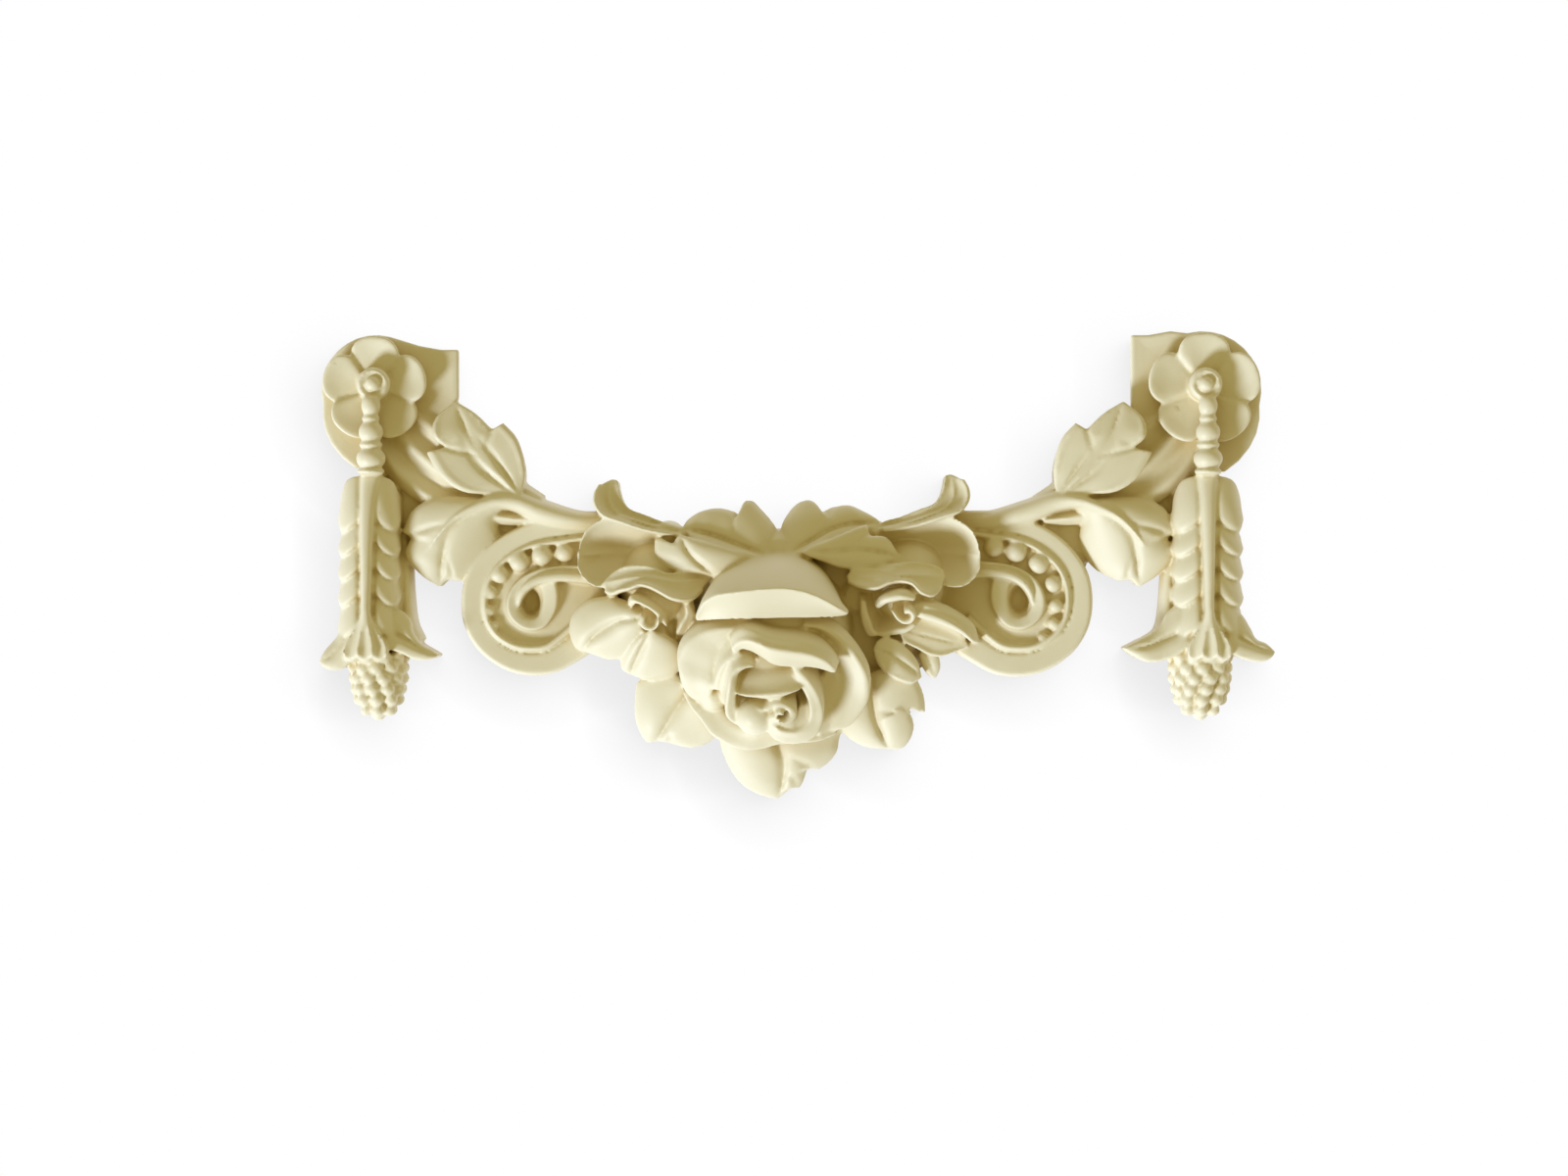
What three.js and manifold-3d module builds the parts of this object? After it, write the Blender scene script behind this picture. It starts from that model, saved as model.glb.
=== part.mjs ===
// A cast wall festoon, made in one piece: a full rose and two half-open ones among leaves, a beaded scroll on each side,
// and at each end a five-petalled flower on a rounded plate, with a leaf drop and a berry cone hanging from it.
// Millimetres. X runs across the wall, Z up, and the front faces -Y. The back is flat at Y = 0, the face that is glued to
// the wall, and the origin lies on it behind the rose. A place is written [x, z, h], where h is the height off the wall.
import * as THREE from "three";
import { mergeVertices } from "three/addons/utils/BufferGeometryUtils.js";
import Module from "manifold-3d";

const wasm = await Module();
wasm.setup();

// Driving sizes
const RUN_ON = 4; // every form runs on this far behind the back face, where it is cut flat
const LEAF_STEPS = 3;
const BEHIND = -1; // marks a section's points that lie behind the back face

const GROUND = { height: 9, rise: 6, plateHalf: 17, stemHalf: 32.5, scrollHalf: 24, roseHalf: 44 };

const ROSE = { x: -2, z: 1, h: 17, lean: 45, turn: 0, size: 1, lift: 0.35, rings: [0, 1, 2, 3], stations: 18 };
const BUDS = [
  { x: -61, z: 29, h: 8, lean: 34, turn: 8, size: 0.8, lift: 0, rings: [2, 3], stations: 9 },
  { x: 64, z: 31, h: 8, lean: 34, turn: -12, size: 0.8, lift: 0, rings: [2, 3], stations: 9 },
];

const SCROLLS = [
  { hand: -1, out: 126.5, up: 14, radius: 34.8, beadRadius: 20.5, loopRadius: 9.5 },
  { hand: 1, out: 123, up: 14.5, radius: 36.3, beadRadius: 18.5, loopRadius: 9.5 },
];
const BAND = { half: 6.4, height: 17, rim: 2 }; // the scroll's outer band
const FLOOR = 10.5; // height of the sunk floor under the beads
const LOOP = { half: 4.2, height: 18.5 }; // the small inner curl
const BEADS = { count: 7, largest: 5.9, smallest: 3.1, first: 48, last: 220 };
const EYE = { half: 4, height: 7, floor: 5 };

// The flowered ends. Each flower's eye lies this far out and up from the origin, and its end is placed from it.
const REACH = { left: 204.5, right: 215 };
const RISE = 123;
const ENDS = [
  { hand: -1, reach: REACH.left, flower: 27, horn: [42, 20.5], half: 18.2, spans: [25, 36], hook: [0, 0] },
  { hand: 1, reach: REACH.right, flower: 29, horn: [36.5, 28], half: 20.5, spans: [34, 43], hook: [2.5, 2.5] },
];
const PLATE = { height: 11, edge: 9, margin: 1, growth: 0.22 };
const FLOWER = { petals: 5, notch: 0.26, base: 15, rim: 21, button: 8.5, knob: 4, top: 27 };
const STRING = { top: -4, beads: 3, length: 40, small: 5, grow: 0.7, collar: 1.3, height: 25 };
const BELL = { length: 85, height: 24, leaflets: 5, sweep: 9, crest: 7 };
const CONE = { gap: 3, rows: 6, pitch: 6.2, radius: 12.8, berry: 2.6, around: 6, inward: 3.2, height: 15 };

// Leaf outlines, base to tip: a rib and the two edges beside it. A fourth value of 1 marks a sharp corner.
const UPPER_LEAF = {
  rib: [[-74, -55, 22], [-58, -37, 26], [-49, -25, 27], [-41, -6, 20]],
  edges: [
    [[-57, -53.5, 19], [-45, -52, 19], [-35, -45.5, 20], [-26.5, -32, 21, 1], [-36, -30, 22, 1], [-30, -24, 22], [-31, -15, 20]],
    [[-76, -48, 18], [-76.5, -39, 17], [-72.5, -25, 17], [-65.5, -17, 19, 1], [-60, -20.5, 21, 1], [-51, -12, 20]],
  ],
};
const LOWER_LEAF = {
  rib: [[-71, -56, 22], [-50, -62, 24], [-38, -73, 23], [-32.5, -100, 14]],
  edges: [
    [[-47, -54, 18], [-29, -55, 17], [-19, -61, 17], [-13.5, -72, 17, 1], [-18.5, -75, 17, 1], [-15, -83, 17], [-23, -94, 15]],
    [[-62, -65, 14], [-63, -77, 11], [-56, -91, 11], [-43.5, -99, 14, 1], [-36.5, -98.5, 15, 1]],
  ],
};
const HUSK = {
  rib: [[44, 42, 27], [72, 41, 20], [90, 41, 22], [101.5, 41, 29]],
  edges: [
    [[50, 53, 30], [72, 56, 32], [87, 57, 33], [96.5, 51.5, 32]],
    [[52, 30, 30], [72, 27.5, 32], [91, 24.5, 34], [99, 33, 32]],
  ],
};
const HOOK = {
  rib: [[48, 49, 27], [72, 57, 33], [86, 65, 31], [84, 78, 22]],
  edges: [
    [[62, 57, 28], [72.5, 61, 29], [78.5, 65.5, 27], [79.5, 71, 25], [80.5, 76.5, 22, 1]],
    [[67, 50, 33], [84, 55.5, 34], [91.5, 63.5, 31], [92, 69, 27], [90.5, 74, 23]],
  ],
};
const ROSE_LEAVES = [
  {
    rib: [[-2, 36, 34], [-20, 47, 32], [-37, 53, 30], [-48, 51, 27]],
    edges: [
      [[4, 50, 26], [-2, 57, 24], [-10, 68, 22], [-17, 68, 22, 1], [-20, 62, 25, 1], [-31, 65.5, 24], [-44, 60, 24]],
      [[-10, 36, 33], [-25, 41, 32], [-38, 46, 30]],
    ],
  },
  {
    rib: [[-29, 27, 36], [-40, 34, 37], [-46, 41, 37], [-49, 50, 33]],
    edges: [
      [[-15, 37, 36], [-28, 41, 36], [-40, 46, 34]],
      [[-47, 30, 34], [-56, 32, 32], [-63, 38, 31], [-62, 49, 30, 1], [-53, 43, 34, 1]],
    ],
  },
  {
    rib: [[2, 36, 34], [17, 47, 32], [36, 55, 30], [53, 54.5, 26]],
    edges: [
      [[-4, 50, 26], [1, 59, 24], [9, 68.5, 22], [19, 69, 22, 1], [22, 62.5, 25, 1], [34, 66.5, 24], [49, 60, 24]],
      [[12, 38, 33], [28, 44, 31], [43, 49, 29]],
    ],
  },
  {
    rib: [[14, 37, 36], [37, 41, 36], [62, 41, 31]],
    edges: [
      [[12, 39, 35], [28, 47, 36], [43.5, 54, 34, 1], [46, 48, 35, 1], [56, 48, 32]],
      [[26, 32, 34], [42, 31, 34], [56, 34, 32]],
    ],
  },
  {
    rib: [[-66, 4, 36], [-83, 3, 34], [-97, -12, 24]],
    edges: [
      [[-74, 16, 31], [-88, 17, 29], [-101, 13, 27], [-106.5, 4, 26], [-106, -6, 25]],
      [[-74, -11, 32], [-81, -15.5, 28], [-90, -14, 26]],
    ],
  },
  {
    rib: [[-56, 0, 38], [-66, -9, 36], [-72, -21.5, 26]],
    edges: [
      [[-69, -2, 34], [-77, -9, 31], [-81.5, -16, 27]],
      [[-46, -6, 36], [-46, -16, 33], [-53, -21, 29], [-63, -23, 27]],
    ],
  },
  {
    rib: [[-40, -25, 28], [-52, -38, 26], [-64, -55, 15]],
    edges: [
      [[-52, -20, 23], [-68, -21, 20], [-73.5, -32, 18], [-73.5, -46, 16], [-69, -54.5, 15]],
      [[-30, -43, 24], [-31, -52, 20], [-43, -58, 17], [-53, -56, 16, 1], [-58, -54, 16]],
    ],
  },
  {
    rib: [[-1, -36, 26], [-3, -66, 24], [-1, -85.5, 12]],
    edges: [
      [[-36, -42, 20], [-30, -57, 18], [-25, -72, 16], [-11, -83, 13]],
      [[36, -42, 18], [32, -54, 17], [28, -63, 16], [20, -70, 14, 1], [13.5, -68, 18, 1], [13, -75, 15], [5, -81.5, 13]],
    ],
  },
  {
    rib: [[44, -18, 30], [49, -44, 27], [56, -61.5, 15]],
    edges: [
      [[31, -42, 24], [30, -50, 20], [37, -56, 18], [47, -61, 16]],
      [[62, -17, 26], [70, -27, 23], [75, -41, 19, 1], [63, -37, 23, 1], [69.5, -46, 19], [67, -59, 16]],
    ],
  },
  {
    rib: [[58, -4, 26], [74, -16, 24], [80, -26, 18]],
    edges: [
      [[70, -4, 24], [80, -12, 22], [82, -21, 19]],
      [[62, -16, 24], [70, -23, 22], [76, -26, 19]],
    ],
  },
  {
    rib: [[64, 2, 37], [82, 3, 35], [101.5, -6.5, 25]],
    edges: [
      [[68, 16.5, 33], [82, 17, 32], [93, 10, 30], [99.5, 1, 27]],
      [[66, -10, 33], [77, -13, 30], [87, -11.5, 28], [94, -7.5, 26]],
    ],
  },
  {
    rib: [[46, -6, 37], [60, -12, 36], [73, -22, 27]],
    edges: [
      [[55, -2, 35], [63, -6, 33], [69, -13.5, 30]],
      [[48, -14, 35], [55, -20, 32], [65, -23.5, 29]],
    ],
  },
];

// Stems, as [x, z, h, half-width] along them
const STEM = [[-4, 42, 12, 9], [22, 41, 13, 8], [52, 47, 14, 7], [82, 56, 15, 5], [102, 56.5, 19, 5.5], [120, 61, 22, 7], [134, 67, 22, 8], [150, 64, 20, 5], [166, 52, 20, 2.5]];
const GARLAND = [[-83, -61, 17, 8], [-67, -56, 18, 13], [-43, -47, 17, 19], [-22, -32, 15, 20], [-5, -13, 12, 13]];
const LIP_CROSS = [[-1, 0.6], [0, 1], [1, 0.6]];
const STEM_CROSS = [[-1, 0.45], [-0.7, 0.85], [0, 1], [0.7, 0.85], [1, 0.45]];
const GARLAND_CROSS = [[-1, 0.7], [-0.72, 1], [-0.38, 0.72], [0, 1.05], [0.36, 0.74], [0.7, 1], [1, 0.7]];

const at = (x, z, h) => new THREE.Vector3(x, -h, z);
const degrees = THREE.MathUtils.degToRad;

// A closed solid through rings of equally many points, with a fan across each end.
function loft(rings) {
  const count = rings[0].length;
  const points = rings.flat();
  const faces = [];
  for (let i = 0; i < rings.length - 1; i++) {
    for (let j = 0; j < count; j++) {
      const [a, b] = [i * count + j, i * count + ((j + 1) % count)];
      faces.push(a, b, a + count, b, b + count, a + count);
    }
  }
  for (const [ring, turned] of [[0, true], [rings.length - 1, false]]) {
    const middle = points.push(centre(rings[ring])) - 1;
    for (let j = 0; j < count; j++) {
      const [a, b] = [ring * count + j, ring * count + ((j + 1) % count)];
      faces.push(...(turned ? [middle, b, a] : [middle, a, b]));
    }
  }
  return solid(new THREE.BufferGeometry().setFromPoints(points).setIndex(faces));
}

function centre(points) {
  const sum = points.reduce((total, p) => total.add(p), new THREE.Vector3());
  return sum.divideScalar(points.length);
}

// A closed mesh as a solid with its faces pointing out.
function solid(geometry) {
  const bare = new THREE.BufferGeometry();
  bare.setAttribute("position", geometry.getAttribute("position"));
  bare.setIndex(geometry.index);
  const merged = mergeVertices(bare, 1e-3);
  const corners = [];
  for (let i = 0; i < merged.index.count; i += 3) {
    const [a, b, c] = [merged.index.getX(i), merged.index.getX(i + 1), merged.index.getX(i + 2)];
    if (a !== b && b !== c && c !== a) corners.push(a, b, c);
  }
  const make = (triVerts) =>
    new wasm.Manifold(
      new wasm.Mesh({
        numProp: 3,
        vertProperties: merged.getAttribute("position").array,
        triVerts: new Uint32Array(triVerts),
      }),
    );
  const made = make(corners);
  return made.volume() < 0 ? make(corners.reverse()) : made;
}

// A curve through [x, z, h] points that breaks at each sharp corner.
function line(points, place) {
  const path = new THREE.CurvePath();
  let start = 0;
  points.forEach((point, i) => {
    if (i && (point[3] || i === points.length - 1)) {
      const stretch = points.slice(start, i + 1).map(([x, z, h]) => place(x, z, h));
      path.add(new THREE.CatmullRomCurve3(stretch, false, "centripetal"));
      start = i;
    }
  });
  return path;
}

// A leaf: swollen halves on each side of a sunk rib, with flanks that run in to the wall.
function leaf({ rib, edges, crown = 2.6, crease = 1 }, place = at, steps = LEAF_STEPS) {
  const middle = line(rib, place);
  const sides = edges.map((edge) => line([rib[0], ...edge, rib.at(-1)], place));
  const corners = sides.flatMap((side) => side.getCurveLengths().map((l) => l / side.getLength()));
  const even = Array.from({ length: steps + 1 }, (_, i) => i / steps);
  const stops = [...new Set([...even, ...corners].map((u) => Math.min(0.985, Math.max(0.015, u)).toFixed(2)))]
    .map(Number)
    .sort((a, b) => a - b)
    .filter((u, i, all) => !i || u - all[i - 1] > 0.03 || corners.some((c) => Math.abs(c - u) < 0.006));
  return loft(
    stops.map((u) => {
      const m = middle.getPointAt(u);
      const [a, b] = sides.map((side) => side.getPointAt(u));
      const ease = Math.min(1, 6 * u * (1 - u));
      const swell = (end) => {
        const p = m.clone().lerp(end, 0.5);
        p.y -= ease * crown;
        return p;
      };
      const foot = (end) => m.clone().lerp(end, 0.85).setY(RUN_ON);
      const sunk = m.clone();
      sunk.y += ease * crease;
      return [a, swell(a), sunk, swell(b), b, foot(b), foot(a)];
    }),
  );
}

// A stem or band along [x, z, h, half-width] points. Its cross holds [share of half-width, share of height].
function band(points, cross, place = at, steps = 8) {
  const path = new THREE.CatmullRomCurve3(points.map(([x, z, h]) => place(x, z, h)), false, "centripetal");
  const halves = new THREE.CatmullRomCurve3(points.map(([, , , half]) => new THREE.Vector3(half)));
  return loft(
    Array.from({ length: steps + 1 }, (_, i) => {
      const p = path.getPoint(i / steps);
      const along = path.getTangent(i / steps).setY(0).normalize();
      const side = new THREE.Vector3(along.z, 0, -along.x).multiplyScalar(halves.getPoint(i / steps).x);
      const ring = cross.map(([share, rise]) => p.clone().addScaledVector(side, share).setY(p.y * rise));
      const feet = [cross.at(-1), cross[0]].map(([share]) => p.clone().addScaledVector(side, share).setY(RUN_ON));
      return [...ring, ...feet];
    }),
  );
}

function ball(x, z, h, radius) {
  return solid(new THREE.SphereGeometry(radius, 6, 3).rotateX(Math.PI / 2).translate(x, -h, z));
}

// A turned form about a line off the wall, from [radius, height off the wall] points.
function knob(x, z, profile, around = 10) {
  const turned = new THREE.LatheGeometry(profile.map(([r, h]) => new THREE.Vector2(r, -h)), around);
  return solid(turned.translate(x, 0, z));
}

// Points of a spiral that is round for most of its turn and opens towards its far end, as [x, z].
function spiral({ hand, out, up }, radius, growth, from, to, count) {
  return Array.from({ length: count }, (_, i) => {
    const angle = from + ((to - from) * i) / (count - 1);
    const r = radius + growth * (Math.max(0, 150 - angle) / 90) ** 2;
    return [hand * (out - r * Math.cos(degrees(angle))), up + r * Math.sin(degrees(angle))];
  });
}

function scroll(place) {
  const stretch = (points, half, height) => points.map(([x, z]) => [x, z, height, half]);
  const bandPath = spiral(place, place.radius - BAND.half, 18, 57, 312, 14);
  const loopPath = spiral(place, place.loopRadius, 10, 22, 378, 15);
  const top = (BAND.height + BAND.rim) / BAND.height;
  const bandCross = [[-1, top * 0.8], [-0.8, top], [-0.5, 1], [1, 0.95]];
  const cross = place.hand < 0 ? bandCross : bandCross.map(([share, rise]) => [-share, rise]).reverse();
  const round = [[-1, 0.75], [0, 1], [1, 0.75]];
  const disc = [[0, -RUN_ON], [place.radius * 0.9, -RUN_ON], [place.radius * 0.9, FLOOR], [0, FLOOR]];
  const parts = [
    band(stretch(bandPath, BAND.half, BAND.height), cross, at, 13),
    band(stretch(loopPath, LOOP.half, LOOP.height), round, at, 11),
    knob(place.hand * place.out, place.up, disc, 14),
  ];
  spiral(place, place.beadRadius, 10, BEADS.first, BEADS.last, BEADS.count).forEach(([x, z], i) => {
    const share = Math.abs(i - 2) / (BEADS.count - 3);
    parts.push(ball(x, z, FLOOR + 1.5, BEADS.largest + (BEADS.smallest - BEADS.largest) * share));
  });
  const eye = knob(
    place.hand * (place.out - 1.5),
    place.up + 1,
    [[0, EYE.floor], [EYE.half * 0.6, EYE.floor], [EYE.half, EYE.height], [EYE.half * 1.15, 30], [0, 30]],
    10,
  );
  return wasm.Manifold.union(parts).subtract(eye);
}

// Five dished petals round a button, each with one edge over its neighbour's.
function flower({ hand, reach, flower: radius }) {
  const slots = 4;
  const petalSpan = 360 / FLOWER.petals;
  const ring = (share, heightOf) =>
    Array.from({ length: FLOWER.petals * slots }, (_, i) => {
      const within = (i % slots) / slots - 0.5;
      const notch = 1 - FLOWER.notch * Math.abs(within * 2) ** 3;
      const angle = degrees(90 + petalSpan * (Math.floor(i / slots) + within));
      const r = radius * share * notch;
      return at(
        hand * (reach + r * Math.cos(angle)),
        RISE + r * Math.sin(angle),
        heightOf(Math.abs(within * 2)),
      );
    });
  const rise = FLOWER.rim - FLOWER.base;
  const petals = loft([
    ring(0.9, () => -RUN_ON),
    ring(1, (w) => FLOWER.rim - 1 - 5 * w ** 4),
    ring(0.86, (w) => FLOWER.rim - 5 * w ** 4),
    ring(0.5, (w) => FLOWER.base + rise * 0.3 - 1.5 * w ** 4),
  ]);
  const button = knob(hand * reach, RISE, [
    [0, -RUN_ON],
    [FLOWER.button, -RUN_ON],
    [FLOWER.button, FLOWER.top - 4],
    [FLOWER.button * 0.8, FLOWER.top],
    [FLOWER.knob * 1.15, FLOWER.top - 1.5],
    [FLOWER.knob * 0.7, FLOWER.top + 1.5],
    [0, FLOWER.top + 2],
  ]);
  return [petals, button];
}

// The rounded plate behind a flower, with a horn at its inner upper corner.
function plate({ hand, reach, flower: radius, horn: [across, rise] }) {
  const rim = [];
  for (let angle = 75; angle <= 255; angle += 20) {
    const r = radius + PLATE.margin + PLATE.growth * Math.max(0, angle - 195);
    rim.push([-r * Math.cos(degrees(angle)), r * Math.sin(degrees(angle))]);
  }
  rim.push([-20, -36], [-36, -18], [-across, -4], [-across, rise], [9 - across, rise], [20 - across, rise + 2]);
  const level = (share, h) => rim.map(([x, z]) => at(hand * (reach + x * share), RISE + z * share, h));
  return loft([
    level(0.95, -RUN_ON),
    level(1, PLATE.edge),
    level(0.95, PLATE.height + 1.5),
    level(0.7, PLATE.height - 1),
  ]);
}

// The cone of berries, as one round form with a staggered bump for each berry.
function cone(size, place) {
  const sections = [];
  for (let row = 0; row <= CONE.rows; row++) {
    for (const part of row < CONE.rows ? [0, 0.5] : [0]) {
      const share = Math.min(0.98, (row + part) / CONE.rows);
      const radius = CONE.radius * size * Math.sqrt(1 - share ** 3);
      const z = -CONE.gap - CONE.rows * CONE.pitch * share;
      sections.push(
        Array.from({ length: 2 * CONE.around }, (_, i) => {
          const bump = part && (i + row) % 2 ? CONE.berry : 0;
          const angle = (Math.PI * i) / CONE.around;
          return place(
            CONE.inward + (radius + bump) * Math.cos(angle),
            z,
            CONE.height + (radius + bump) * Math.sin(angle),
          );
        }),
      );
    }
  }
  return loft(sections);
}

// The bell's two rows of drooping leaflets beside a rib, as one run of chevron-shaped sections.
function bell(half, place) {
  const pitch = (BELL.length - BELL.sweep) / BELL.leaflets;
  const sections = [];
  for (let i = 0; i < BELL.leaflets; i++) {
    sections.push([i, 0.8], [i + 0.4, 1]);
  }
  sections.push([BELL.leaflets, 0.8]);
  const acrossOf = (swell) => [
    [-0.96 * swell, BEHIND, 1],
    [-0.96 * swell, 0.72 * swell, 1],
    [-0.6 * swell, 0.98 * swell, 0.6],
    [-0.25, 0.88, 0.1],
    [0, 1.25, 0],
    [0.25, 0.88, 0.1],
    [0.6 * swell, 0.98 * swell, 0.6],
    [0.96 * swell, 0.72 * swell, 1],
    [0.96 * swell, BEHIND, 1],
  ];
  return loft(
    sections.map(([i, swell]) =>
      acrossOf(swell).map(([across, rise, sag]) => {
        const z = BELL.length - pitch * i - BELL.sweep * sag;
        const height = rise === BEHIND ? -RUN_ON : BELL.height * rise + BELL.crest * (i / BELL.leaflets);
        return place(half * across, z, height);
      }),
    ),
  );
}

// The string of beads, the leafed bell with its two side lips, and the berry cone under it.
function drop({ hand, reach, half, spans }) {
  const foot = RISE + STRING.top - STRING.length - BELL.length;
  const place = (x, z, h) => at(hand * (reach + 1 - x), foot + z, h);
  const top = STRING.length + BELL.length;
  const rings = [];
  const lap = STRING.length / STRING.beads;
  const cut = Array.from({ length: 7 }, (_, i) => degrees((i * 360) / 7));
  for (let i = 0; i < STRING.beads; i++) {
    const bead = STRING.small + STRING.grow * i;
    for (const [share, radius] of [[0, bead - 0.9], [0.4, bead], [0.78, bead - 0.5], [0.88, bead + STRING.collar]]) {
      const z = top - lap * (i + share);
      rings.push(cut.map((a) => place(radius * Math.cos(a), z, STRING.height + radius * Math.sin(a))));
    }
  }
  const parts = [loft(rings), bell(half, place)];
  parts.push(band([[0, top, 22, 3.5], [0, BELL.length - 4, 20, 4.5]], STEM_CROSS, place, 2));
  for (const [way, span] of [[-1, spans[0]], [1, spans[1]]]) {
    const wide = span / 40;
    const lip = [
      [way * half * 0.65, 8, 21, 9 * wide],
      [way * (half + 2), -0.5, 22, 8 * wide],
      [way * (half * 0.4 + span * 0.6), -5, 24, 4.5 * wide],
      [way * span, -7, 26, 1.5],
    ];
    parts.push(band(lip, LIP_CROSS, place, 4));
  }
  const trefoil = {
    rib: [[0, 14, 33], [0, 2, 36], [0, -8.5, 34]],
    edges: [-1, 1].map((way) => [[way * 6, 9, 31], [way * 10, 1, 32], [way * 8.5, -6, 33]]),
  };
  parts.push(leaf(trefoil, place, 4));
  parts.push(cone((half / 17) ** 0.7, place));
  return parts;
}

// A rose's petals in rings about an axis that leans down off the wall, outermost first. Each petal ends at a place on the
// clock face, in degrees, and holds its reach from the axis and how far along the axis its lip lies. A ring's foot is where
// its petals leave the petals inside. A rose's lift pushes the petals under its axis outwards, by a share of their drop.
const ROSE_RINGS = [
  {
    foot: 10,
    petals: [
      { end: 165, reach: 50, lip: 24 },
      { end: 232, reach: 47, lip: 27 },
      { end: 308, reach: 34, lip: 42 },
      { end: 375, reach: 47, lip: 27 },
    ],
  },
  {
    foot: 28,
    petals: [
      { end: 165, reach: 33, lip: 43 },
      { end: 270, reach: 31, lip: 44 },
      { end: 400, reach: 32, lip: 43 },
    ],
  },
  {
    foot: 38,
    petals: [
      { end: 120, reach: 20, lip: 51 },
      { end: 235, reach: 22, lip: 49 },
      { end: 360, reach: 20, lip: 52 },
    ],
  },
  {
    foot: 45,
    petals: [
      { end: 220, reach: 9, lip: 57 },
      { end: 380, reach: 11, lip: 55 },
    ],
  },
];
const PETAL = { thick: 3.4, roll: 2.5, rollShare: 0.09, swing: 0.07, droop: 0.3 };

// The petal of a ring at an angle: its reach, its lip and its roll there. It leans out towards one end, over its neighbour.
function petalAt({ foot, petals }, angle) {
  const first = petals.at(-1).end - 360;
  const turned = angle < first ? angle + 360 : angle;
  const index = petals.findIndex(({ end }) => turned < end);
  const { end, reach, lip } = petals[index];
  const from = index ? petals[index - 1].end : first;
  const within = (2 * (turned - from)) / (end - from) - 1;
  return {
    out: reach * (1 + PETAL.swing * within),
    top: lip - (lip - foot) * PETAL.droop * Math.abs(within) ** 3,
    roll: PETAL.roll + reach * PETAL.rollShare,
  };
}

function rose({ x, z, h, lean, turn, size, lift, rings, stations }) {
  const frame = new THREE.Matrix4()
    .makeTranslation(x, -h, z)
    .multiply(new THREE.Matrix4().makeRotationY(degrees(turn)))
    .multiply(new THREE.Matrix4().makeRotationX(degrees(90 + lean)));
  const angles = Array.from({ length: stations }, (_, i) => (i * 360) / stations);
  const section = (profile) =>
    angles.map((angle) => {
      const [reach, along] = profile(angle);
      const across = reach * Math.cos(degrees(angle));
      const rise = reach * Math.sin(degrees(angle));
      return new THREE.Vector3(across, rise, along + lift * Math.max(0, -rise))
        .multiplyScalar(size)
        .applyMatrix4(frame);
    });
  const used = rings.map((i) => ROSE_RINGS[i]);
  const back = used[0].petals[0].reach;
  const sections = [section(() => [back * 0.72, used[0].foot - 34]), section(() => [back, used[0].foot - 19])];
  for (const ring of used) {
    const places = [
      ({ out }) => [out * 0.92, ring.foot],
      ({ out, top, roll }) => [out + roll * 0.6, top - roll * 0.6],
      ({ out, top }) => [out, top],
      ({ out, top, roll }) => [out - PETAL.thick, top - roll],
    ];
    sections.push(...places.map((place) => section((angle) => place(petalAt(ring, angle)))));
  }
  return loft(sections);
}

// The low ground that joins the carving, from each end to the middle.
function ground({ hand, reach }) {
  const { height, rise, plateHalf, stemHalf, scrollHalf, roseHalf } = GROUND;
  const path = [
    [reach, RISE, height, plateHalf],
    [reach - 35.5, RISE - 50.5, height, stemHalf],
    [138, 52, height, scrollHalf * 0.6],
    [104, 36, height, scrollHalf],
    [62, 16, height + rise, roseHalf * 0.66],
    [0, -4, height + rise, roseHalf],
  ];
  return band(path, [[-1, 1], [1, 1]], fromOrigin(hand), 8);
}

// Places taken from the origin, from the origin but stretched to an end's own reach, and from a flower's eye.
function fromOrigin(hand, [across, up] = [0, 0]) {
  return (x, z, h) => at(hand * (x + across), z + up, h);
}

function stretched({ hand, reach }) {
  return (x, z, h) => at((hand * x * reach) / REACH.left, z, h);
}

function fromEye({ hand, reach }) {
  return (x, z, h) => at(hand * (reach + x), RISE + z, h);
}

function side(end) {
  const eye = fromEye(end);
  return [
    ground(end),
    plate(end),
    ...flower(end),
    ...drop(end),
    leaf(UPPER_LEAF, eye),
    leaf(LOWER_LEAF, eye),
    band(GARLAND, GARLAND_CROSS, eye, 5),
    band(STEM, STEM_CROSS, stretched(end)),
    leaf({ ...HUSK, crown: -5 }, fromOrigin(end.hand)),
    leaf(HOOK, fromOrigin(end.hand, end.hook)),
  ];
}

const parts = [
  ...ENDS.flatMap(side),
  ...SCROLLS.map(scroll),
  ...ROSE_LEAVES.map((shape) => leaf(shape)),
  ...[ROSE, ...BUDS].map(rose),
];

const whole = wasm.Manifold.union(parts);
const bounds = whole.boundingBox();
const span = Math.max(...bounds.max, ...bounds.min.map(Math.abs)) * 4;
const behind = solid(new THREE.BoxGeometry(span, span, span).translate(0, span / 2, 0));
const cast = whole.subtract(behind);

const { vertProperties, triVerts } = cast.getMesh();
const geometry = new THREE.BufferGeometry();
geometry.setAttribute("position", new THREE.BufferAttribute(vertProperties, 3));
geometry.setIndex(new THREE.BufferAttribute(triVerts, 1));
geometry.computeVertexNormals();

const ivory = new THREE.MeshStandardMaterial({ color: 0xe6ddb4, roughness: 0.55, metalness: 0 });
const festoon = new THREE.Mesh(geometry, ivory);
festoon.name = "festoon";

const group = new THREE.Group();
group.add(festoon);
export default group;
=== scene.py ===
import math

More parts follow.
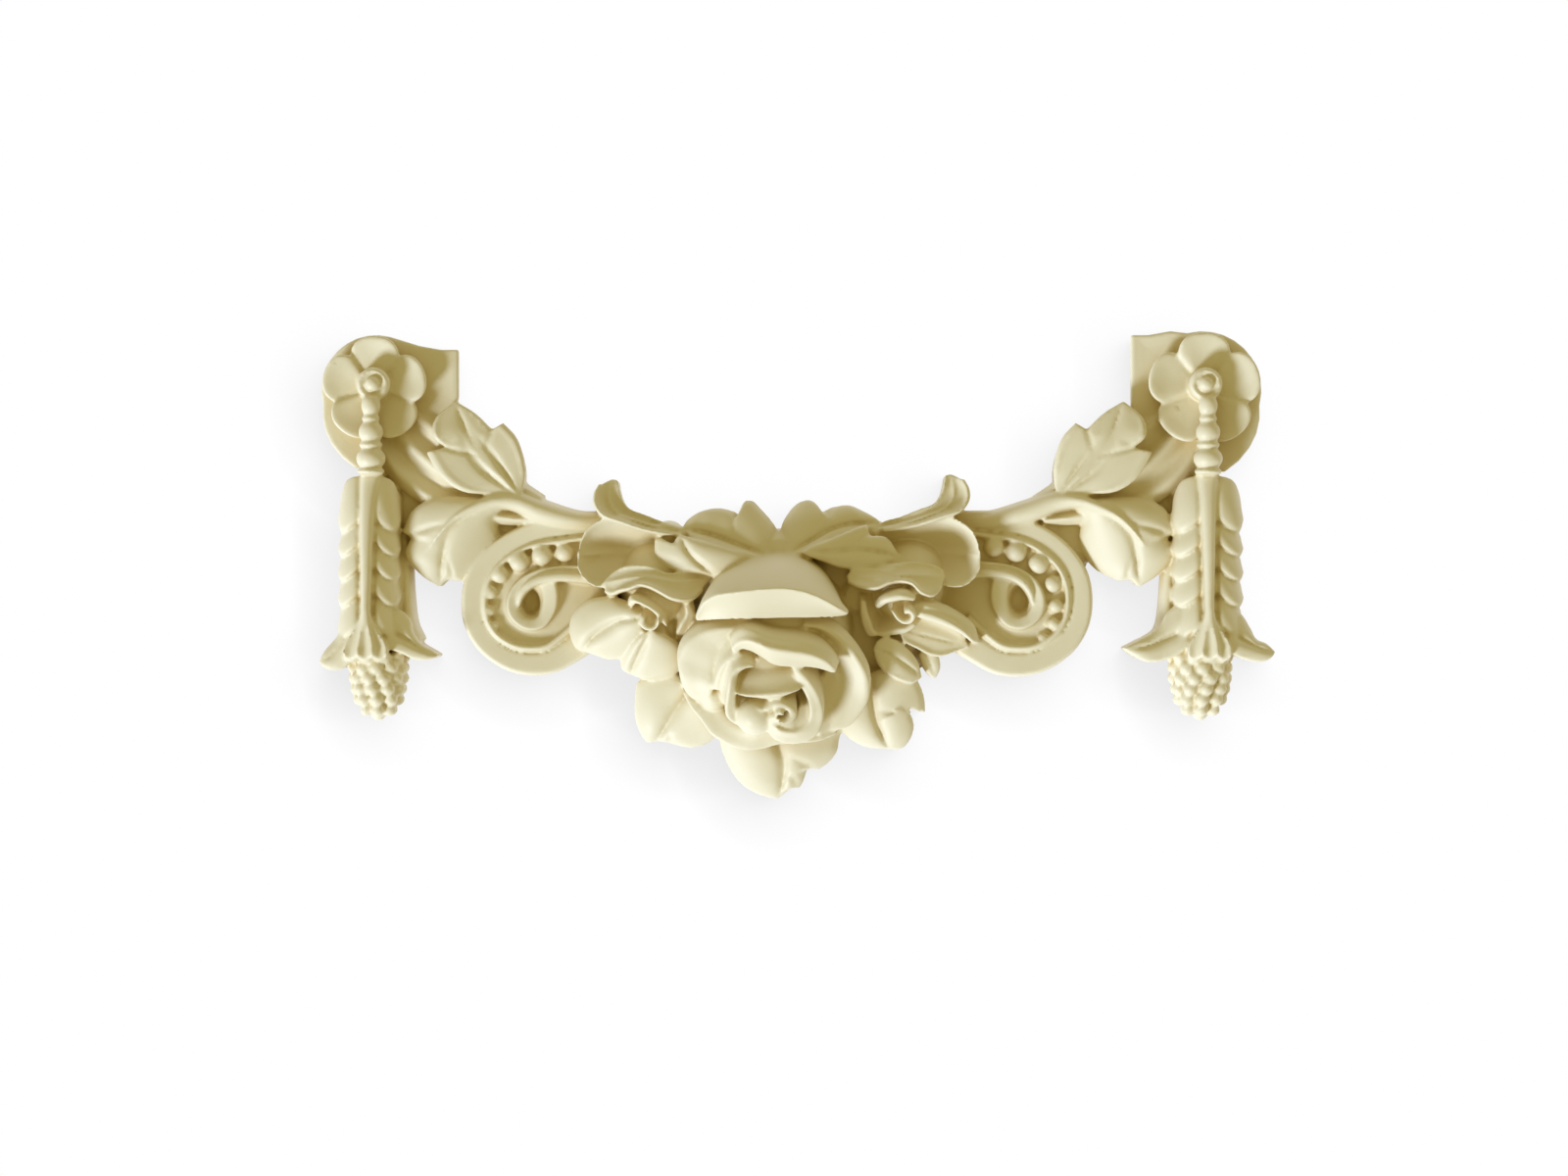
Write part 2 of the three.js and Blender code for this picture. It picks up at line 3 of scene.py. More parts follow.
import bpy
import numpy as np
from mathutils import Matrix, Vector


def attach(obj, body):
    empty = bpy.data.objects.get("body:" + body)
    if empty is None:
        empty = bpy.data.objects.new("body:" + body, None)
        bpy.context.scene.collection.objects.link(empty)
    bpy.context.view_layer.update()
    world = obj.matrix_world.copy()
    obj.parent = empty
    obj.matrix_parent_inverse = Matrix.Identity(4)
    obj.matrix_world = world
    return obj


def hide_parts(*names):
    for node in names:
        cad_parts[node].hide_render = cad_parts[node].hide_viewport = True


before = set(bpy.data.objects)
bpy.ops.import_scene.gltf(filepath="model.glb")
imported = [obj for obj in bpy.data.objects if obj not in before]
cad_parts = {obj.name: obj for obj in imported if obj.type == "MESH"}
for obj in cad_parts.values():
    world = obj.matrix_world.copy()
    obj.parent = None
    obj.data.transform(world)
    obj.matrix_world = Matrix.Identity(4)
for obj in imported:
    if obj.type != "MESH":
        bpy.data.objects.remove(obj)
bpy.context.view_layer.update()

MM = 0.001
RUN_ON = 3.0  # every form runs on this far behind the wall plane, where the skin is cut flat
VOXEL = {"fine": 0.8, "quick": 1.0}
SKIN_FACES = 190000
IVORY = {
    "clouds": [[0.3, (0.86, 0.81, 0.65, 1)], [0.7, (0.9, 0.86, 0.72, 1)]],
    # hollow and crease are painted shade: a dark olive mixed into the cream where occlusion finds nearby
    # surfaces
    "hollow": {"reach": 0.022, "low": 0.25, "shade": (0.7, 0.58, 0.32, 1)},
    "crease": {"reach": 0.0035, "low": 0.35, "shade": (0.62, 0.5, 0.27, 1)},
}
KEY = {"source": (-0.60, -0.46, -0.65), "strength": 2.8, "color": (0.76, 0.86, 1.0), "angle": 14}
SKY = {"Color": (1, 0.84, 0.33, 1), "Strength": 0.42}
BACKDROP = {"half": 3, "tall": 2, "y": 0.0008}  # in metres, just behind the casting
LENS = {"length": 85, "sensor": 36}

EYE = {"x": 2.5, "z": 22.5, "away": 1889}  # where the camera stands


def leaf_form(rib, upper, lower, crown=3, crease=1.6, rim=0, ridge=0):
    """A leaf by its rib and the edges beside it, base to tip. A fourth value of 1 marks a sharp corner."""
    form = {"crown": crown, "crease": crease, "rim": rim, "ridge": ridge}
    return {"rib": rib, "edges": [upper, lower], **form}


def both_sides(half):
    """A cross section from its left half, in points of [share of half-width, share of height]."""
    return half + [[0, 1]] + [[-share, rise] for share, rise in half[::-1]]


def petal_form(lip, foot, tilt=0, bulge=1, roll=0.5):
    """A petal by its lip as seen from the front, in points of [x, z, height, width of the rolled rim].

    foot is (share of the lip's reach, depth below the lip), and tilt is how much the rim rises inwards.
    """
    return {"lip": lip, "foot": foot, "tilt": tilt, "bulge": bulge, "roll": roll}


# The low ground that joins the carving, as [x, z, h, half-width] from a flower's middle and from the origin
GROUND = {
    "end": [[0, 0, 8, 16], [-38, -48, 8, 26]],
    "middle": [[138, 52, 8, 13.2], [104, 36, 8, 22], [62, 16, 13, 27.72], [0, -4, 13, 42]],
}
ROSE = {"x": -2, "z": 1, "h": 17, "lean": 45}
BUDS = [
    {"x": -61, "z": 29, "h": 8, "lean": 34, "size": 0.8},
    {"x": 64, "z": 31, "h": 8, "lean": 34, "size": 0.8},
]
SCROLLS = [
    {
        "hand": -1, "x": -126, "z": 14.2, "size": 1,
        "beads": [
            [-16.5, 26.3, 5], [-5, 25, 5.5], [6.5, 21.8, 5.5], [16.5, 15.3, 4.8], [21.5, 6.3, 4],
            [21.8, -3.2, 3.3], [19, -10.7, 2.7]],
    },
    {
        "hand": 1, "x": 122, "z": 15.4, "size": 1.05,
        "beads": [
            [-11.8, 26.6, 5.3], [-1, 24.2, 5.7], [9.8, 18.5, 5.5], [16.8, 8.8, 4.6], [18.2, -1.9, 3.9],
            [17, -10.5, 3.3], [12, -17.5, 2.8]],
    },
]
# A scroll's edges as seen, [out, up] from its middle: the outer band, and the curl inside the beads
BAND = {
    "outer": [
        [-38, 43.3], [-21, 44.3], [-6, 43.6], [8, 38.8], [20, 31.8], [29.5, 21.8], [34.5, 11.8], [36, 0.3],
        [34.5, -10.7], [29.5, -20.7], [22, -28.2], [11, -34.2], [-1, -36.2], [-12, -34.7], [-21, -30.2],
        [-34, -22.2]],
    "inner": [
        [-38, 35.8], [-24, 34.8], [-12, 33.3], [0, 31.3], [11, 26.3], [20, 18.3], [24.5, 9.8], [25.7, -0.2],
        [24, -9.2], [20, -15.7], [14.5, -20.2], [8, -23.2], [0, -24.2], [-8, -23], [-16, -17.7],
        [-26, -9.2]],
    "profile": [
        [0.04, -RUN_ON], [-0.02, 11], [0, 13.6], [0.04, 15.4], [0.1, 16.2], [0.2, 16.2], [0.5, 16],
        [0.86, 15.9], [0.92, 14.6], [0.98, 14.9], [1.03, 17.2], [1.1, 18.2], [1.18, 18.2], [1.25, 17],
        [1.3, 14], [1.32, -RUN_ON]],
}
CURL = {
    "outer": [
        [-30, 19.8], [-20, 20.1], [-11, 19.5], [-1, 17.3], [7, 12.8], [12, 6.3], [13.7, -0.7], [12, -6.7],
        [7, -11.7], [1, -13.9], [-6, -12.2], [-11, -6.7], [-13.8, 0.3], [-13.5, 8.3], [-12, 13]],
    "inner": [
        [-30, 13.8], [-20, 15.3], [-11, 14.8], [-2, 12.8], [4.5, 8.3], [6.5, 3.3], [6.5, -1.2], [5, -4.7],
        [3, -6.4], [0, -7], [-3, -5.7], [-4.7, -1.7], [-5.2, 2.8], [-4.5, 6.8], [-3, 9.8]],
    "profile": [
        [0.02, -RUN_ON], [0, 13], [0.02, 16.2], [0.09, 18.2], [0.18, 18.8], [0.4, 18.2], [0.8, 17.4],
        [0.97, 16.6], [1, 15], [1, -RUN_ON]],
}
RIDGE = [
    [-30, 12.8, 20.5, 2.8], [-20, 13.8, 21, 2.7], [-12, 14.1, 21.5, 2.6], [-4, 12.8, 21.5, 2.5],
    [2.5, 9.3, 21, 2.3], [6, 4.3, 19.8, 1.9], [7, -0.6, 18, 1],
]
FLOOR = 14
PIT = {"out": 0.5, "up": 1.3, "half": [5.2, 7.6], "h": 6}

REACH = {"left": 204.5, "right": 215}
RISE = 123
WING = {"crown": 2, "rim": 0.8}
LEFT_WINGS = [
    leaf_form(
        [[6, 9, 27], [17, 3, 26], [26, -2.5, 27], [34.8, -5.5, 27]],
        [[13, 18, 24], [19.5, 13, 22], [20.5, 7.5, 22], [24.5, 1, 23], [30, -2.5, 25]],
        [[9, -2, 29], [14.5, -4, 29], [22, -7.5, 28], [29.5, -7.8, 28]], **WING),
    leaf_form(
        [[-8, 8, 29], [-15, 0, 28], [-21, -6, 27], [-26, -9, 26]],
        [[-14, 11, 24], [-17.6, 4, 23], [-22.3, -1.5, 24], [-25, -5.5, 25]],
        [[-8, -6, 30], [-11, -10.5, 29], [-16, -13, 28], [-22, -12.5, 27]], **WING),
]
RIGHT_WINGS = [
    leaf_form(
        [[8, 9, 27], [20, 3.5, 26], [32, -1, 27], [42.2, -1.8, 27]],
        [[15, 20, 24], [20.5, 16, 22], [23, 11, 22], [28, 6, 23], [35, 2.2, 25]],
        [[12, -3, 29], [20.5, -7.5, 28], [30, -9, 28], [37.5, -6, 27]], **WING),
    leaf_form(
        [[-8, 9, 28], [-18, 2, 27], [-27, -2, 27], [-34, -3.8, 26]],
        [[-16, 16, 24], [-21.5, 9, 22], [-24.5, 3, 23], [-29.5, 0.6, 25]],
        [[-11, -4, 30], [-16, -7, 29], [-26, -9, 28], [-31.5, -7, 27]], **WING),
]
ENDS = [
    {
        "hand": -1, "reach": REACH["left"], "flower": 27, "horn": (42, 20.5), "half": 18.2,
        "rib": -1.8, "sides": (14.5, 17.2), "hook": (0, 0),
        "wings": LEFT_WINGS,
    },
    {
        "hand": 1, "reach": REACH["right"], "flower": 29, "horn": (36.5, 28), "half": 20.5,
        "rib": 0, "sides": (17.5, 18.5), "hook": (2.5, 2.5),
        "wings": RIGHT_WINGS,
    },
]
PLATE = {"margin": 1, "growth": 0.22}
PLATE_SECTION = [  # [share of its reach, height] from the wall over the edge
    [0.92, -RUN_ON], [0.995, 5], [1, 9.2], [0.99, 10.4], [0.96, 10.8], [0.9, 10.5], [0.8, 10], [0.6, 9.6],
]
FLOWER = {
    "petals": 5, "spread": 0.545, "notch": 0.28, "dish": -1, "slant": 1.3,
    "up": 2.2, "button": 8.5, "knob": 4, "top": 27,
}
PETAL_SECTION = [  # [share of a petal's reach, height] from its underside over its rim
    [0.86, -RUN_ON], [0.92, 13.5], [0.985, 17], [1, 18.4], [0.99, 19.4], [0.96, 19.8],
    [0.9, 19.5], [0.8, 18.9], [0.68, 18.4], [0.55, 17.9], [0.42, 17.5], [0.25, 17.2],
]
STRING = {"top": -4, "length": 40, "beads": [4.9, 6.2, 7.4], "height": 25}
BEAD_SECTION = [  # [share of a bead's length, share of its radius] down over the bead and its collar
    [0, 0.62], [0.06, 0.76], [0.14, 0.9], [0.26, 0.985], [0.36, 1], [0.48, 0.97], [0.58, 0.87],
    [0.66, 0.74], [0.7, 0.7], [0.74, 0.78], [0.79, 0.93], [0.84, 0.97], [0.89, 0.93], [0.94, 0.76],
]
BELL = {
    "length": 85, "height": 25, "cuts": [85, 64, 52.5, 40, 27, 11], "sweep": 9.5, "crest": 6, "lap": 6.2,
}
CONE = {
    "gap": 4.5, "rows": 6, "pitch": 5.3, "radius": 11.2, "berry": 3.9, "around": 10,
    "inward": 3, "height": 15,
}

# The leaf above and the leaf below each stem, from the flower's middle, and the husk with its hook
UPPER_LEAF = leaf_form(
    [[-74, -55, 22], [-58, -37, 23], [-49, -25, 24], [-41, -6, 20]],
    [[-57, -53.5, 23], [-45, -52, 25.5], [-35, -45.5, 26.5], [-26.5, -32, 26, 1], [-36, -30, 24.5, 1],
     [-30, -24, 26], [-31, -15, 23]],
    [[-76, -48, 20], [-76.5, -39, 21], [-72.5, -25, 22], [-65.5, -17, 22, 1], [-60, -20.5, 22, 1],
     [-51, -12, 21]], crown=0.6, rim=1.2, ridge=2.2)
LOWER_LEAF = leaf_form(
    [[-71, -56, 22], [-50, -62, 24], [-38, -73, 23], [-32.5, -100, 14]],
    [[-47, -54, 18], [-29, -55, 17], [-19, -61, 17], [-13.5, -72, 17, 1], [-18.5, -75, 17, 1],
     [-15, -83, 17], [-23, -94, 15]],
    [[-62, -65, 14], [-63, -77, 11], [-56, -90, 11], [-43.5, -97, 14, 1], [-36.5, -96.5, 15, 1]])
HUSK = leaf_form(
    [[46, 40, 28], [66, 41, 17], [86, 40, 17], [101.5, 39, 31]],
    [[50, 52, 31], [66, 55, 33], [83, 58.5, 34], [93, 55, 34], [98.5, 49, 33]],
    [[52, 31, 30], [70, 27, 32], [90, 22.5, 35], [97, 26, 34], [101, 32, 33]], crown=-4, crease=-1, rim=1.8)
HOOK = leaf_form(
    [[46, 49, 28], [67, 55, 33], [82, 61, 31], [85.5, 68, 29], [84, 77.5, 26]],
    [[49, 53, 29], [58.5, 56, 31], [67.5, 59.5, 32], [75, 62.5, 31], [78, 66, 30], [80, 72, 29],
     [80.8, 76.8, 27, 1]],
    [[50, 49, 32], [66, 51.5, 35], [80, 56, 37], [88, 59, 36], [92, 64.5, 34], [92, 69.5, 32],
     [89.5, 74.5, 29]], crown=-2.2, crease=-0.8, rim=1)
ROSE_LEAVES = [
    leaf_form(  # left of the top: a broad lobe and a tall one
        [[-4, 38, 33], [-18, 43, 33], [-34, 49, 31], [-49, 52, 28]],
        [[-1, 44, 26], [-1, 52, 25], [-5, 58, 25], [-9.5, 63, 25], [-13, 66.5, 25], [-17, 66.5, 26],
         [-19, 63, 27], [-19, 59, 28, 1], [-22.5, 61, 28, 1], [-28.5, 62.8, 27], [-35, 62.5, 27],
         [-41, 60.5, 27], [-46.5, 56.5, 27]],
        [[-12, 35, 36], [-28, 40, 35], [-42, 46, 33]], crown=3.4),
    leaf_form(  # left, small, over the husk
        [[-30, 27, 37], [-38, 33, 40], [-45, 40, 40], [-49.5, 49.5, 36]],
        [[-16, 38, 38], [-26, 43, 39], [-38, 46.5, 38], [-45, 48, 37]],
        [[-40, 29.5, 36], [-48.5, 30, 36], [-55, 31, 35], [-60, 35, 34], [-62.5, 40, 34],
         [-62.5, 47.5, 32, 1], [-59.5, 48, 32], [-56, 44, 35], [-54, 41.5, 36, 1], [-52, 47, 36]],
        crown=2.4),
    leaf_form(  # right of the top
        [[3, 38, 33], [16, 46, 33], [32, 54, 31], [52, 55, 26]],
        [[0, 46, 26], [1.5, 55, 25], [5, 61, 25], [9.5, 65.5, 25], [15.5, 67, 25], [19.5, 64, 27],
         [21, 60.5, 28, 1], [26, 63, 27, 1], [30, 64, 27], [35.5, 64.3, 27], [41, 62, 27], [48, 58.3, 27]],
        [[12, 38, 34], [26, 44, 33], [40, 48, 31]], crown=3.2),
    leaf_form(  # right, long, over the husk
        [[11, 40, 38], [26, 41, 38], [42, 42, 37], [61, 38, 31]],
        [[17.5, 44, 38], [28.5, 48.4, 38], [38, 52.6, 37], [44, 54.7, 35, 1], [45.5, 48.8, 36, 1],
         [54, 48, 34]],
        [[15, 38, 38], [22, 35.5, 37], [30, 32.5, 36], [40, 31.5, 35], [52, 32, 34]], crown=2, rim=0.8),
    leaf_form(  # left bud: the big outer leaf, its upper half swollen and its lower half dished
        [[-66, 7, 40], [-78.5, 6.5, 38], [-85, 3.5, 35], [-92.5, -1.5, 31], [-99, -9, 25]],
        [[-72, 14, 36], [-82.5, 18.3, 32], [-89, 18.3, 30], [-95.5, 17, 28], [-101.5, 13, 26],
         [-104.8, 8, 25], [-106, 2, 24], [-105, -3.5, 24], [-102.5, -8, 24]],
        [[-70, -2, 36], [-77, -12, 30], [-85.5, -13.7, 27], [-92.5, -11.5, 26]]),
    leaf_form(  # left bud: the lower leaf
        [[-64, 2, 40], [-68, -5, 37], [-71.5, -12, 33], [-75, -21, 25]],
        [[-73, -4, 35], [-78, -10, 30], [-80, -15, 27], [-78.8, -19, 26]],
        [[-54, -2, 36], [-48, -8, 34], [-47, -16, 31], [-52, -20.8, 29], [-60, -23.2, 27],
         [-68, -23.5, 26]], crown=2.6),
    leaf_form(  # lower left
        [[-42, -26, 26], [-50, -36, 25], [-56.5, -46, 22], [-62, -55, 16]],
        [[-52, -20, 26], [-64, -21, 23], [-71.5, -25, 21], [-73, -33, 20], [-73, -43, 18], [-70, -52, 16],
         [-66.5, -56, 15]],
        [[-32, -42, 27], [-30, -50, 24], [-36, -56, 20], [-44, -58.5, 18], [-52, -57, 17, 1],
         [-57, -55.5, 18, 1]]),
    leaf_form(  # bottom
        [[-1, -36, 24], [0, -57, 23], [2.5, -66, 22], [1.5, -78, 17], [-1, -84.5, 13]],
        [[-36, -42, 24], [-31, -53, 22], [-28.5, -61, 20], [-25, -69, 18], [-20, -76, 16], [-11, -82, 14]],
        [[36, -42, 22], [31, -52, 21], [29.5, -60, 20], [25, -66, 18], [20, -69.5, 17, 1],
         [17.5, -66, 20, 1], [14.5, -69, 18], [13, -74, 17], [10.5, -79, 15, 1], [6.5, -78.5, 16, 1],
         [3.5, -81, 15]], crown=3.4),
    leaf_form(  # lower right, with its lobes
        [[46, -20, 28], [47, -36, 26], [50, -47, 23], [55.5, -59, 17]],
        [[33, -38, 26], [30, -46, 23], [33, -51.5, 20], [38, -55.5, 18], [45, -58.3, 17]],
        [[58, -16, 30], [67, -20, 27], [71, -26, 25], [73.5, -33, 23], [74, -40.5, 21, 1], [68, -38, 24],
         [62.5, -36.5, 27, 1], [66.5, -41, 24], [68.3, -47, 21], [66.5, -54, 19], [62, -59, 17]],
        crown=3.4),
    leaf_form(  # lower right, the small lens over it
        [[47, -8, 34], [56, -11, 35], [64, -16, 33], [72, -22.5, 28]],
        [[50, -3, 33], [57, -2.3, 33], [64, -7, 32], [69.5, -14, 30]],
        [[48.5, -14, 34], [53.5, -20.5, 34], [60, -24, 33], [67, -25.5, 30]], crown=1.2, rim=1.2),
    leaf_form(  # right bud: the white crescent leaf
        [[62, 12, 40], [76, 11, 41], [89, 5, 37], [101, -5, 27]],
        [[70, 18, 37], [82, 15, 35], [91, 10.3, 32], [98, 4.3, 29]],
        [[70, 7.5, 41], [80, 4.5, 40], [91, -0.5, 35], [98, -5.5, 29]], crown=2.6, crease=0),
    leaf_form(  # right bud: the dished leaf under it
        [[60, 2, 34], [72, -1, 33], [84, -4, 30], [96, -7, 26]],
        [[68, 9, 33], [82, 5, 31], [92, -1, 28]],
        [[62, -4, 34], [69, -8, 33], [76, -11.5, 31], [82, -12, 30], [89, -9.5, 28]], crown=-1, rim=1.4),
    leaf_form(  # a tip that hangs below the right bud
        [[72, -8, 27], [76, -16, 25], [79, -23.5, 20]],
        [[77, -8, 26], [81, -13, 24], [81.5, -18, 22]],
        [[70, -12, 26], [72.5, -18, 24], [76, -22, 22]], crown=1),
]
# The sepals that roof each bud: dished leaves with a bright lower lip
SEPALS = [
    leaf_form(
        [[-34, 27, 34], [-52, 26, 42], [-70, 28, 41], [-88.5, 25, 35]],
        [[-38, 30.5, 34], [-48, 30.8, 38], [-56, 30.2, 40], [-63, 33.3, 39], [-70.5, 34.3, 37],
         [-78, 33.5, 35], [-84, 30, 34]],
        [[-38.5, 22, 38], [-43.5, 17.5, 43], [-49, 16.6, 46], [-54, 17.8, 47], [-59, 20.6, 47],
         [-64.5, 23.3, 46], [-69.5, 24.3, 45], [-74, 22.6, 44, 1], [-79, 21.5, 42], [-84, 19.8, 38],
         [-87, 21.5, 36]], crown=-1.5, crease=-0.4, rim=1.6),
    leaf_form(
        [[44, 30, 36], [58, 29, 42], [72, 29, 41], [83.5, 28, 34]],
        [[50, 33.5, 37], [57, 35, 38], [66, 36, 37], [75, 35, 35], [82, 32, 34]],
        [[52, 24.5, 42], [60, 26, 45], [66, 25, 46], [71, 20.5, 45], [76.4, 19, 42], [80.9, 23, 38]],
        crown=-1.5, crease=-0.4, rim=1.2),
    leaf_form(
        [[62, 28, 40], [52, 27.5, 43], [42, 28, 41], [33.5, 28.5, 36]],
        [[58, 33, 39], [50, 32.5, 39], [42.5, 33, 37], [37, 32, 36]],
        [[60, 26.5, 45], [55.5, 25.5, 46], [48, 22.6, 46], [40, 23.8, 43], [34.5, 26.3, 38]],
        crown=-0.6, crease=-0.4, rim=1.4),
]
LEFT_BUD = [
    petal_form(  # over the hollow
        [[-77, 13, 40.6, 2], [-75, 16, 46.3, 3], [-69.5, 14.3, 47.5, 3], [-63.5, 11, 46.5, 3],
         [-59, 7, 43.8, 3], [-57, 2, 39.2, 2]], foot=(0.7, 14)),
    petal_form(  # right
        [[-46, 14, 40.1, 2], [-43.5, 9, 37.9, 4], [-44.5, 3, 35.1, 6], [-48, -3, 31, 6],
         [-51.5, -6.5, 27.5, 4], [-55.5, -6, 26.6, 2]], foot=(0.8, 16), tilt=0.3),
    petal_form(  # lower left, the pale one
        [[-77, 9, 39.1, 2], [-76, 3, 38.7, 4], [-73, -2, 36.5, 5], [-68, -4.5, 36.1, 5],
         [-62, -4.5, 36.1, 4], [-57, -3, 35.9, 3]], foot=(0.7, 14), tilt=0.1),
    petal_form(  # the curl
        [[-70, 8, 44.5, 2], [-71, 3.5, 43.9, 2.4], [-68, 0.5, 43.1, 2.6], [-64, 0.5, 43.1, 2.4],
         [-61.5, 3, 44.7, 2.2], [-61.5, 6.5, 47.1, 2]], foot=(0.9, 9), bulge=0.4, roll=0.3),
]
RIGHT_BUD = [
    petal_form(  # left
        [[42, 16, 37.7, 2], [42, 9, 36.6, 3], [43, 3, 35, 4], [46, -2.5, 32.4, 4], [51, -2.3, 33.8, 4],
         [58, -1.8, 35.3, 4], [65, -0.5, 36.2, 3], [70, 3, 37.4, 2]], foot=(0.85, 16), tilt=0.1, bulge=1.5),
    petal_form(  # over the hollow
        [[49, 12, 41, 2], [52, 15.5, 45.8, 3], [57, 17.5, 48.3, 3], [64, 18.5, 49, 3], [70, 17, 45.6, 2]],
        foot=(0.8, 12), roll=0.4),
    petal_form(  # the curl
        [[57, 11, 45.2, 2], [60, 6, 44.2, 2.4], [64, 3.5, 43.7, 2.6], [68, 4.5, 44.4, 2.4],
         [69.5, 8, 46.8, 2.2], [67, 11, 48.8, 2], [63.5, 10, 46.9, 2]], foot=(0.9, 9), bulge=0.4, roll=0.3),
]

# Low mounds behind the buds and leaves, as [x, z, radius, height]
MOUNDS = [
    [-50, 6, 30, 25], [50, 4, 30, 25], [-36, 34, 22, 25], [36, 34, 22, 25], [-62, 32, 14, 18],
    [60, 32, 11, 14], [-84, 30, 12, 14], [84, 30, 12, 14], [0, 40, 13, 32], [-56, 49, 8, 31],
    [48, 50.5, 7, 30], [60, -3, 12, 30], [-56, 0, 12, 31], [-38, 23, 10, 31], [40, 18, 12, 30],
    [97, -2, 7, 17], [-191, 57, 7, 9], [-190, 47, 6, 9], [199, 73, 7, 9], [199, 54, 7, 9],
    [-201, -5, 6, 13], [210, -6, 6, 13], [153, 42, 8, 9], [136, 55, 6, 11],
]

# Stems and the garland behind the bead string, as [x, z, h, half-width] along them
STEM = [
    [-4, 42, 12, 9], [22, 41, 13, 8], [52, 47, 14, 7], [82, 56, 15, 5], [102, 56.5, 19, 5.5],
    [120, 61, 22, 6.5], [134, 66.5, 24, 6], [144, 66.5, 26, 4.6], [154, 63, 27, 3.6], [163, 58, 26.5, 2.8],
    [170, 51, 25.5, 2], [176, 43, 22.5, 0.8],
]
GARLAND = [
    [-83, -61, 17, 8], [-67, -56, 18, 13], [-43, -47, 17, 19], [-22, -32, 15, 20], [-5, -13, 12, 13],
]
STEM_CROSS = both_sides([[-1, 0.45], [-0.7, 0.85]])
GARLAND_CROSS = [[-1, 0.7], [-0.72, 1], [-0.38, 0.72], [0, 1.05], [0.36, 0.74], [0.7, 1], [1, 0.7]]

# The rose's back petal from left to right: its outline against the leaves, its crest, and its lower lip
BACK_PETAL = {
    "outline": [
        [-41, 8, 45], [-37, 18, 40], [-32.5, 27, 36], [-26, 32.5, 34], [-16.5, 37, 33], [-5.5, 39.5, 33],
        [7.5, 39.5, 33], [15.5, 37, 33], [22.5, 31, 36], [28, 22.5, 40], [32, 14, 44], [34.5, 9.5, 47]],
    "crest": [
        [-41.5, 7.2, 53], [-37.5, 15, 60], [-31, 18.8, 64.5], [-23.5, 20, 67], [-15, 21, 68.5],
        [-5.5, 22, 69.2], [4.5, 22, 69.2], [12.5, 20.5, 68.5], [20.5, 17.5, 66.5], [28.5, 13, 62],
        [34.5, 9.7, 56]],
    "lower": [
        [-41, 6, 51], [-36, 6.2, 53], [-30, 6.5, 56], [-23.5, 7, 58], [-14.5, 7, 59.5], [-5.5, 7.2, 60],
        [2.5, 7.5, 60], [12.5, 7.5, 59.5], [22, 7.8, 58], [29, 8, 56], [34, 8.8, 54]],
}
